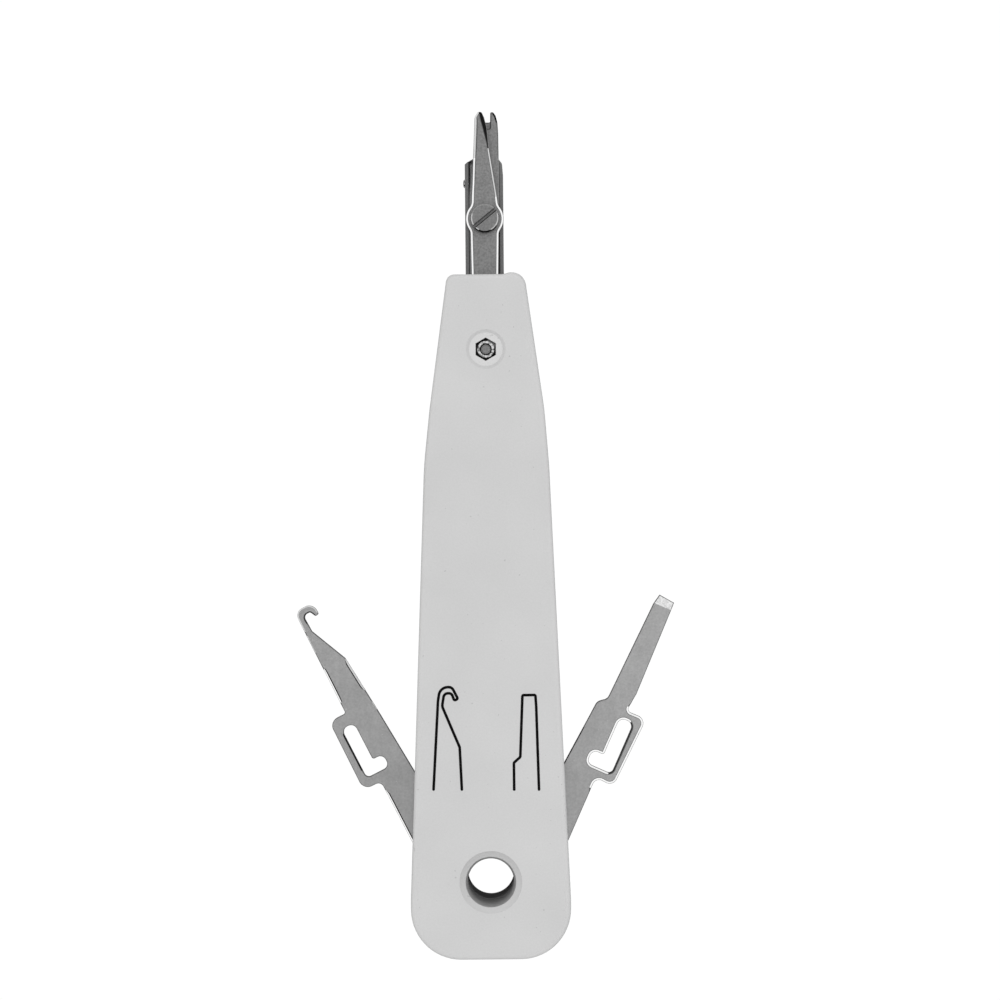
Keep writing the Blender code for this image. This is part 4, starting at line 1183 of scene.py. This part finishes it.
def channel():
    """The U-shaped sleeve, whose floor reaches a little further than its walls."""
    low, high = CHANNEL_LOW, CHANNEL_HIGH
    floor_z = low.z + CHANNEL_WALL
    piece = layered("head_sleeve", [channel_outline(0.0)], low.z, high.z)
    floor = layered("floor", [channel_outline(CHANNEL_FLOOR_RISE)], low.z, floor_z)
    combine(piece, "UNION", [floor])
    inside = block("inside", (low.x + CHANNEL_WALL, low.y - 2, floor_z),
                   (high.x - CHANNEL_WALL, high.y + 2, high.z + 1))
    stroke_slot = arc(0.0, NUT_SPOT.y + STROKE, SCREW_BORE_R, 0, 180)
    stroke_slot += arc(0.0, NUT_SPOT.y, SCREW_BORE_R, 180, 360)
    rivet_at = (0.0, node_box("plunger_rivet")[0].y + 0.9, 0.0)
    cuts = [
        inside,
        layered("stroke slot", [stroke_slot], low.z - 1, floor_z + 1),
        rod("pivot bore", SCISSOR_BORE_R, low.z - 1, floor_z + 1, SCISSOR_AT),
        rod("rivet bore", 1.2, low.z - 1, floor_z + 1, rivet_at, 32),
    ]
    combine(piece, "DIFFERENCE", cuts)
    soften(piece, 0.1)
    shade(piece)
    return settle(piece, "head", [CHANNEL_STEEL, CHANNEL_STEEL], ["head_channel"])


def plate_outline(low_y, tip, top_left):
    """A flat plate of the head: a stem in the handle, a wider blade, and its own tip."""
    left = PLATE_LEFT
    right = PLATE_RIGHT
    stem = [
        (left, PLATE_SHOULDER_Y, 0.4),
        (CHANNEL_X - PLATE_STEM_HALF, PLATE_SHOULDER_Y - 1, 0.4),
        (CHANNEL_X - PLATE_STEM_HALF, low_y, 0.4),
        (CHANNEL_X + PLATE_STEM_HALF, low_y, 0.4),
        (CHANNEL_X + PLATE_STEM_HALF, PLATE_SHOULDER_Y - 1, 0.4),
        (right, PLATE_SHOULDER_Y, 0.4),
    ]
    flank = [(right, 65.5, 0.2), (PLATE_TOP_RIGHT, 68.5, 0.2)]
    waist = [(PLATE_TOP_RIGHT, CHANNEL_SHOULDER_Y + 0.6, 0.3), (3.05, CHANNEL_SHOULDER_Y + 1.55, 0.5)]
    neck = [(-1.95, CHANNEL_SHOULDER_Y + 0.45, 0.2), (top_left, CHANNEL_SHOULDER_Y - 0.05, 0.3)]
    return rounded(stem + flank + waist + tip + neck + [(left, 71.0, 1.0)])


def plate_edge(spot, number):
    """Painted shade: a dark line round a plate, blacker at the prong's corner, the notch and the tail's right."""
    if 2.6 < spot.x and 67.0 < spot.y < 79.5:
        return (0.05, 0.05, 0.05), (FACE, FACE, FACE)
    if 2.4 < spot.x and spot.y < 67.0:
        return (0.08, 0.2, 0.08), (DARK, DARK, DARK)
    if number == 0 and spot.y > 87.0 and spot.x > 1.9:
        return (0.06, 0.14, 0.06), (DARK, DARK, LINE)
    if number == 0 and spot.y > 85.0 and -0.2 < spot.x < 1.5:
        return (0.05, 0.1, 0.05), (LINE, DARK, LINE)
    return (0.08, 0.12, 0.04), (LINE, LINE, FACE)


def plate(name, node, metal, low_y, tip, top_left=PLATE_TOP_LEFT):
    low, high = node_box(node)
    outlines = [plate_outline(low_y, tip, top_left), circle(SCISSOR.x, SCISSOR.y, SCISSOR_BORE_R)]
    piece = shade(layered(name, outlines, low.z, high.z, edge=plate_edge, back=BACK_CHAMFER))
    return settle(piece, "head", flat_materials(metal), [node])


def inserter():
    """The forked plate that presses the wire in, a little wider at its left."""
    tip = [
        (3.0, 84.5, 0.0),
        (2.87, 86.8, 1.5),
        (2.5, 88.3, 0.8),
        (1.95, TIP_Y, 0.4),
        (1.35, TIP_Y, 0.3),
        (1.3, 86.9, 0.25),
        (0.2, 86.9, 0.25),
        (0.0, 88.3, 0.4),
        (-1.5, 88.3, 0.5),
    ]
    return plate("inserter", "inserter_plate", INSERTER_STEEL, 47.0, tip,
                 PLATE_LEFT + 0.1)


def fixed_jaw():
    """The still half of the scissor, under the moving one."""
    tip = [
        (2.95, 84.5, 0.0),
        (2.8, 86.5, 1.5),
        (2.4, 87.9, 0.8),
        (1.9, 88.7, 0.3),
        (1.4, 88.7, 0.2),
        (1.3, 85.4, 0.25),
        (-1.7, 85.4, 0.6),
    ]
    return plate("fixed_jaw", "fixed_cutter", CUTTER_STEEL, 49.0, tip)


def eye_flank(edge_x, half_turn):
    """The right side of the eye, with a hollow fillet down to an edge at x = edge_x."""
    fillet = 2.0
    across = edge_x + fillet
    rise = math.sqrt((CUTTER_EYE_R + fillet) ** 2 - across ** 2)
    meets = math.degrees(math.atan2(rise, across))
    hollow = arc(across, half_turn * rise, fillet, half_turn * (meets - 180), -half_turn * 180)
    return hollow, meets


def cam_slot():
    """The slot in the tail that the cam pin follows as the head slides in."""
    closing = math.radians(CLOSING_ANGLE)
    steps = 10
    centres = []
    for k in range(steps + 1):
        share = k / steps
        pin = Vector((0.0, CAM_SPOT.y - SCISSOR.y + STROKE * share))
        centres.append(Matrix.Rotation(closing * share, 2) @ pin)
    half = CAM_BORE_R
    lean = math.degrees(math.atan2(*(centres[-1] - centres[0]))) * -1
    across = Vector((math.cos(math.radians(lean)), math.sin(math.radians(lean)))) * half
    right = [c + across for c in centres]
    left = [c - across for c in reversed(centres)]
    top = arc(*centres[-1], half, lean, lean + 180)[1:-1]
    foot = arc(*centres[0], half, lean + 180, lean + 360)[1:-1]
    return right + top + left + foot


def cutter_edge(spot, number):
    """Painted highlights: white round the eye and tail and a broad light band up the jaw's left; painted shade: a
    black cutting bevel.
    """
    x, y = spot
    if number:
        return PLAIN_EDGE
    if y > 14.0 and x > -1.05:
        start = ((0.08, 0.2, 0.14), (FACE, DARK, LINE))
        bevel = ((0.07, 0.76, 0.14), (FACE, DARK, LINE))
        tip = ((0.03, 0.5, 0.12), (LINE, DARK, LINE))
        grown = mixed(eased(y, 15.0, 20.0), start, bevel)
        lower = mixed(eased(y, 14.2, 15.4), LIGHT_EDGE, grown)
        return mixed(eased(y, 21.4, 22.4), lower, tip)
    if y > 3.8 and x > 0.0:
        return mixed(eased(y, 3.8, 5.5), BRIGHT_EDGE, LIGHT_EDGE)
    if y > 3.8:
        band = ((0.06, 0.42, 0.24), (LINE, LIGHT, LINE))
        tip_band = ((0.04, 0.34, 0.12), (LIGHT, LIGHT, LINE))
        middle = ((0.12, 0.34, 0.16), (LINE, BRIGHT, LINE))
        lower = mixed(eased(y, 5.0, 7.0), BRIGHT_EDGE, middle)
        upper = mixed(eased(y, 10.0, 16.0), lower, band)
        return mixed(eased(y, 20.5, 21.8), upper, tip_band)
    return BRIGHT_EDGE


def eye_side(jaw_edge, tail_edge):
    """The right side of the moving cutter's eye, from the tail's edge up to the jaw's."""
    above, top_angle = eye_flank(jaw_edge, 1)
    below, foot_angle = eye_flank(tail_edge, -1)
    eye = arc(0.0, 0.0, CUTTER_EYE_R, -foot_angle, top_angle)
    return list(reversed(below)) + eye[1:-1] + above


def moving_jaw():
    """The moving half of the scissor: jaw, eye and a tail with the cam's slot."""
    low, high = node_box("moving_cutter")
    tail_low = low.y - SCISSOR.y
    right_side = eye_side(JAW_HALF, TAIL_TOP_RIGHT)
    left_side = [Vector((-spot.x, spot.y)) for spot in reversed(eye_side(JAW_HALF, TAIL_TOP_LEFT))]
    jaw = rounded([
        (2.4, 6.0, 0.0),
        (1.0, 14.9, 0.0),
        (0.6, 19.3, 3.0),
        (0.05, 21.4, 1.2),
        (-0.5, 22.6, 0.45),
        (-1.3, 22.6, 0.45),
        (-1.98, 21.5, 0.9),
        (-2.12, 18.0, 0.0),
        (-2.45, 11.0, 0.0),
    ])
    outline = [Vector((-TAIL_LOW_LEFT, tail_low)), Vector((TAIL_LOW_RIGHT, tail_low))]
    outline += right_side + jaw + left_side
    outlines = [subdivided(thinned(outline), 0.5), circle(0.0, 0.0, SCISSOR_BORE_R), cam_slot()]
    piece = layered("moving_jaw", outlines, low.z, high.z, edge=cutter_edge, back=BACK_CHAMFER)
    place(piece, SCISSOR, 0.0)
    shade(piece)
    return settle(piece, "cutter", flat_materials(CUTTER_STEEL), ["moving_cutter"])


def wedge(name, half_length, half_top, half_floor, floor_z, top_z):
    """A cutter for a slot along X whose walls lean outward, carried on above the top."""
    rise = 1.0 + (half_top - half_floor) / (top_z - floor_z)
    ends = [(half_floor, floor_z), (half_top * rise, top_z + (half_top * rise - half_top) * 2)]
    signs = ((-1, -1), (1, -1), (1, 1), (-1, 1))
    return lofted(name, [([Vector((a * half_length, b * half)) for a, b in signs], z) for half, z in ends])


def mark_screw(screw, top):
    """Painted shade: black slot walls and lower rim and a shaded slot floor; a painted highlight arc round the
    face.
    """
    turn = math.radians(SCREW_SLOT_ANGLE)
    across = Vector((-math.sin(turn), math.cos(turn), 0.0))
    for face in screw.data.polygons:
        spot = face.center / MM - SCISSOR
        inside = abs(spot.dot(across)) < SCREW_SLOT_WIDTH / 2
        sloped = abs(face.normal.dot(across)) > 0.8
        depth = top - face.center.z / MM
        down = -spot.y / max(spot.to_2d().length, 0.01)
        # Painted shade in the slot: black walls and a shaded floor.
        if inside and depth < SCREW_HEAD_H:
            floor = not sloped and depth > 0.4
            face.material_index = 1 if sloped else 3 * floor
        # A painted highlight arc, in the plated steel, on the head's rounded rim.
        elif not inside and depth < 0.08 and 0.6 < face.normal.z < 0.99 and -0.3 < down < 0.9:
            face.material_index = 2
        # A painted black shadow on the head's lower side.
        elif not inside and 0.03 < depth < SCREW_HEAD_H and down > 0.55:
            face.material_index = 1
        else:
            face.material_index = 0


def scissor_screw():
    """The slotted pivot screw, with a round edge to its head."""
    low, high = node_box("scissor_screw")
    head_r = (high.x - low.x) / 2
    flat_r = head_r - 0.5
    shank_r = 1.5
    seat = high.z - SCREW_HEAD_H
    profile = [(0.0, high.z), (flat_r, high.z)]
    profile += [(flat_r + 0.5 * math.sin(a), high.z - 0.35 * (1 - math.cos(a))) for a in quarter(6, 1)]
    profile += [(head_r, seat + 0.1), (head_r - 0.1, seat), (shank_r, seat)]
    profile += thread(shank_r, 1.28, seat - 3.8, low.z + 0.6, 0.5)[0]
    profile += [(1.4, low.z + 0.25), (1.2, low.z), (0.0, low.z)]
    screw = turned("slotted_screw", profile, SCISSOR_AT)
    slot = wedge("slot", 4.0, SCREW_SLOT_WIDTH / 2, 0.19, high.z - 0.75, high.z)
    combine(screw, "DIFFERENCE", [place(slot, SCISSOR, SCREW_SLOT_ANGLE)])
    mark_screw(screw, high.z)
    shade(screw)
    materials = [SCREW_STEEL, BLACK_PAINTED_SHADOW_STEEL, PLATED_AND_HIGHLIGHT_STEEL, SHADED_STEEL]
    return settle(screw, "head", materials, ["scissor_screw"])


def hex_nut(name, node, bore_r, body, material):
    """A hexagon nut with both faces chamfered to a circle and a countersunk bore."""
    low, high = node_box(node)
    centre = (low + high) / 2
    flats = high.x - low.x
    corner = flats / math.sqrt(3)
    at = (centre.x, centre.y, 0.0)
    nut = layered(name, [hexagon(corner, centre)], low.z - 0.5, high.z + 0.5)
    turned_r = flats / 2 * 0.87
    rise = (corner - turned_r) * math.tan(math.radians(30)) + 0.17
    trim = [(0.0, high.z), (turned_r, high.z), (corner + 0.3, high.z - rise)]
    trim += [(corner + 0.3, low.z + rise), (turned_r, low.z), (0.0, low.z)]
    combine(nut, "INTERSECT", [turned("trim", trim, at)])
    sink_r = bore_r + 1.12
    sink = [(0.0, high.z + 1), (sink_r, high.z + 1), (bore_r, high.z - 0.12)]
    sink += [(bore_r, low.z + 0.12), (sink_r, low.z - 1), (0.0, low.z - 1)]
    combine(nut, "DIFFERENCE", [turned("bore", sink, at, sides=64)])
    # Painted shade on the chamfers: those facing the upper right take the shaded steel, the others the black
    # painted shadow.
    for face in nut.data.polygons:
        lit = face.normal.x > 0.1 and face.normal.y > 0.1
        face.material_index = 0 if abs(face.normal.z) > 0.98 else 2 - lit
    shade(nut)
    return settle(nut, body, [material, SHADED_STEEL, BLACK_PAINTED_SHADOW_STEEL], [node])


def closing_screw():
    """The handle's cross-head screw, from the rear counterbore up into its nut."""
    low, high = node_box("closing_screw")
    shank_r = 1.0
    head_r = 1.9
    round_r = 0.5
    head_top = low.z + 1.5
    rings, thread_end = thread(shank_r, 0.8, high.z - 0.25, NUT_LOW.z - 2.0, 0.4)
    profile = [(0.0, high.z), (0.72, high.z), (0.95, high.z - 0.22)] + rings
    profile += [(shank_r, thread_end), (shank_r, head_top), (head_r, head_top)]
    profile += [(head_r - round_r + round_r * math.cos(a), low.z + round_r - round_r * math.sin(a))
                for a in quarter(6)]
    profile += [(0.0, low.z)]
    screw = turned("handle_screw", profile, NUT_AT)
    arms = []
    for label, half_x, half_y in (("long", 1.15, 0.28), ("cross", 0.28, 1.1)):
        corner = (half_x, NUT_SPOT.y + half_y, low.z + 0.8)
        arms.append(block(label, (-half_x, NUT_SPOT.y - half_y, low.z - 1), corner))
    combine(screw, "DIFFERENCE", arms)
    for face in screw.data.polygons:
        face.material_index = 1 if face.center.z / MM > NUT_LOW.z else 0
    shade(screw)
    return settle(screw, "handle", [PLATED_AND_HIGHLIGHT_STEEL, SCREW_STEEL], ["closing_screw"])


def side_rivet():
    """The domed rivet in the sleeve's left wall."""
    low, high = node_box("side_rivet")
    middle = (low + high) / 2
    head_r = 0.9
    shank_r = 0.5
    under = CHANNEL_LOW.x - 0.08
    profile = [(0.0, high.x), (shank_r, high.x), (shank_r, under), (head_r, under)]
    profile += [(head_r * math.cos(a), low.x + 0.36 - 0.28 * math.sin(a)) for a in quarter(8)]
    rivet = turned("rivet", profile, (0.0, middle.y, middle.z), axis="X", sides=SMALL_SIDES)
    # Painted black shadow on the dome's upper and lower ends.
    for face in rivet.data.polygons:
        face.material_index = 1 if abs(face.normal.y) > 0.3 else 0
    shade(rivet)
    return settle(rivet, "head", [PLATED_AND_HIGHLIGHT_STEEL, BLACK_PAINTED_SHADOW_STEEL], ["side_rivet"])


# ---------------------------------------------------------------- carried-over CAD nodes


def finish_node(node, material):
    """Gives a CAD node's mesh its material and leaves its shape alone."""
    obj = frame["nodes"][node]
    obj.data.materials.clear()
    obj.data.materials.append(material)


def carried_nodes():
    """Pieces inside the handle keep their CAD shape and get the steel and plastic they are made of."""
    for node in ("hook_pivot_pin", "blade_pivot_pin", "cam_pin", "spring_plunger", "plunger_rivet"):
        finish_node(node, PLATED_AND_HIGHLIGHT_STEEL)
    for node in ("hook_spring_washer", "blade_spring_washer", "return_spring"):
        finish_node(node, SPRING_STEEL)
    finish_node("spring_seat", SHELL_PLASTIC)


# ---------------------------------------------------------------- stage, light and camera

# Brightness of the light from overhead and below, and of everything white
ZENITH = 0.60
BELOW = 0.05
WHITE = 1.02
FLOOR_SIZE = 6.0
FLOOR_GAP = 0.4
CAMERA_X = 2.7
CAMERA_Y = 6.7
CAMERA_RISE = 579.0
CAMERA_TURN = -0.506


def white_floor():
    """A plain white floor that shows to the camera and lights nothing."""
    bpy.ops.mesh.primitive_plane_add(size=FLOOR_SIZE, location=(0.0, 0.0, CAD_BOX[0].z - FLOOR_GAP * MM))
    floor = bpy.context.object
    floor.name = "floor"
    made = bpy.data.materials.new("white floor")
    made.use_nodes = True
    nodes = made.node_tree.nodes
    nodes.remove(nodes["Principled BSDF"])
    glow = nodes.new("ShaderNodeEmission")
    glow.inputs["Color"].default_value = (1.0, 1.0, 1.0, 1.0)
    glow.inputs["Strength"].default_value = WHITE
    made.node_tree.links.new(glow.outputs[0], nodes["Material Output"].inputs["Surface"])
    floor.data.materials.append(made)
    floor.visible_diffuse = False
    floor.visible_glossy = False
    floor.visible_shadow = False


def studio_world():
    """Soft light from all sides: bright round the horizon, calmer overhead, dark from below."""
    world = bpy.data.worlds.new("studio")
    bpy.context.scene.world = world
    world.use_nodes = True
    tree = world.node_tree
    background = tree.nodes["Background"]
    spot = tree.nodes.new("ShaderNodeTexCoord")
    parts = tree.nodes.new("ShaderNodeSeparateXYZ")
    tree.links.new(spot.outputs["Generated"], parts.inputs[0])
    ramp = tree.nodes.new("ShaderNodeValToRGB")
    stops = [(0.0, BELOW), (0.3, BELOW), (0.42, WHITE), (0.86, WHITE), (0.94, ZENITH), (1.0, ZENITH)]
    fill_ramp(ramp, stops)
    half = tree.nodes.new("ShaderNodeMath")
    half.operation = "MULTIPLY_ADD"
    half.inputs[1].default_value = 0.5
    half.inputs[2].default_value = 0.5
    tree.links.new(parts.outputs["Z"], half.inputs[0])
    tree.links.new(half.outputs[0], ramp.inputs["Fac"])
    seen = tree.nodes.new("ShaderNodeLightPath")
    mix = tree.nodes.new("ShaderNodeMix")
    mix.data_type = "RGBA"
    mix.inputs["B"].default_value = (WHITE, WHITE, WHITE, 1.0)
    tree.links.new(seen.outputs["Is Camera Ray"], mix.inputs["Factor"])
    tree.links.new(ramp.outputs["Color"], mix.inputs["A"])
    tree.links.new(mix.outputs["Result"], background.inputs["Color"])
    bpy.context.scene.view_settings.view_transform = "Standard"


def key_light():
    """A small soft light high above the tool's tip end, for short crisp shadows."""
    light = bpy.data.lights.new("key", "SUN")
    light.angle = math.radians(7.0)
    light.energy = 0.55
    lamp = bpy.data.objects.new("key", light)
    bpy.context.scene.collection.objects.link(lamp)
    lamp.visible_glossy = False
    lamp.rotation_euler = Vector((-0.04, -0.25, -1.0)).to_track_quat("-Z", "Y").to_euler()


def camera():
    """Straight above the tool, a little towards its tip and its right, with a long lens."""
    data = bpy.data.cameras.new("camera")
    data.sensor_width = 36.0
    data.lens = 100.0
    data.clip_start = 0.01
    cam = bpy.data.objects.new("camera", data)
    bpy.context.scene.collection.objects.link(cam)
    cam.location = Vector((CAMERA_X, CAMERA_Y, CAMERA_RISE + FRONT_HIGH.z)) * MM
    cam.rotation_euler = (0.0, 0.0, math.radians(CAMERA_TURN))
    bpy.context.scene.camera = cam


# ---------------------------------------------------------------- the whole scene


def build():
    front_shell()
    rear_shell()
    hook_symbol()
    blade_symbol()
    hook()
    blade()
    channel()
    inserter()
    fixed_jaw()
    moving_jaw()
    scissor_screw()
    hex_nut("scissor_nut_fine", "scissor_nut", 1.7, "head", PLATED_AND_HIGHLIGHT_STEEL)
    hex_nut("closing_nut_fine", "closing_nut", 1.15, "handle", NUT_STEEL)
    closing_screw()
    side_rivet()
    carried_nodes()
    white_floor()
    studio_world()
    key_light()
    camera()


build()
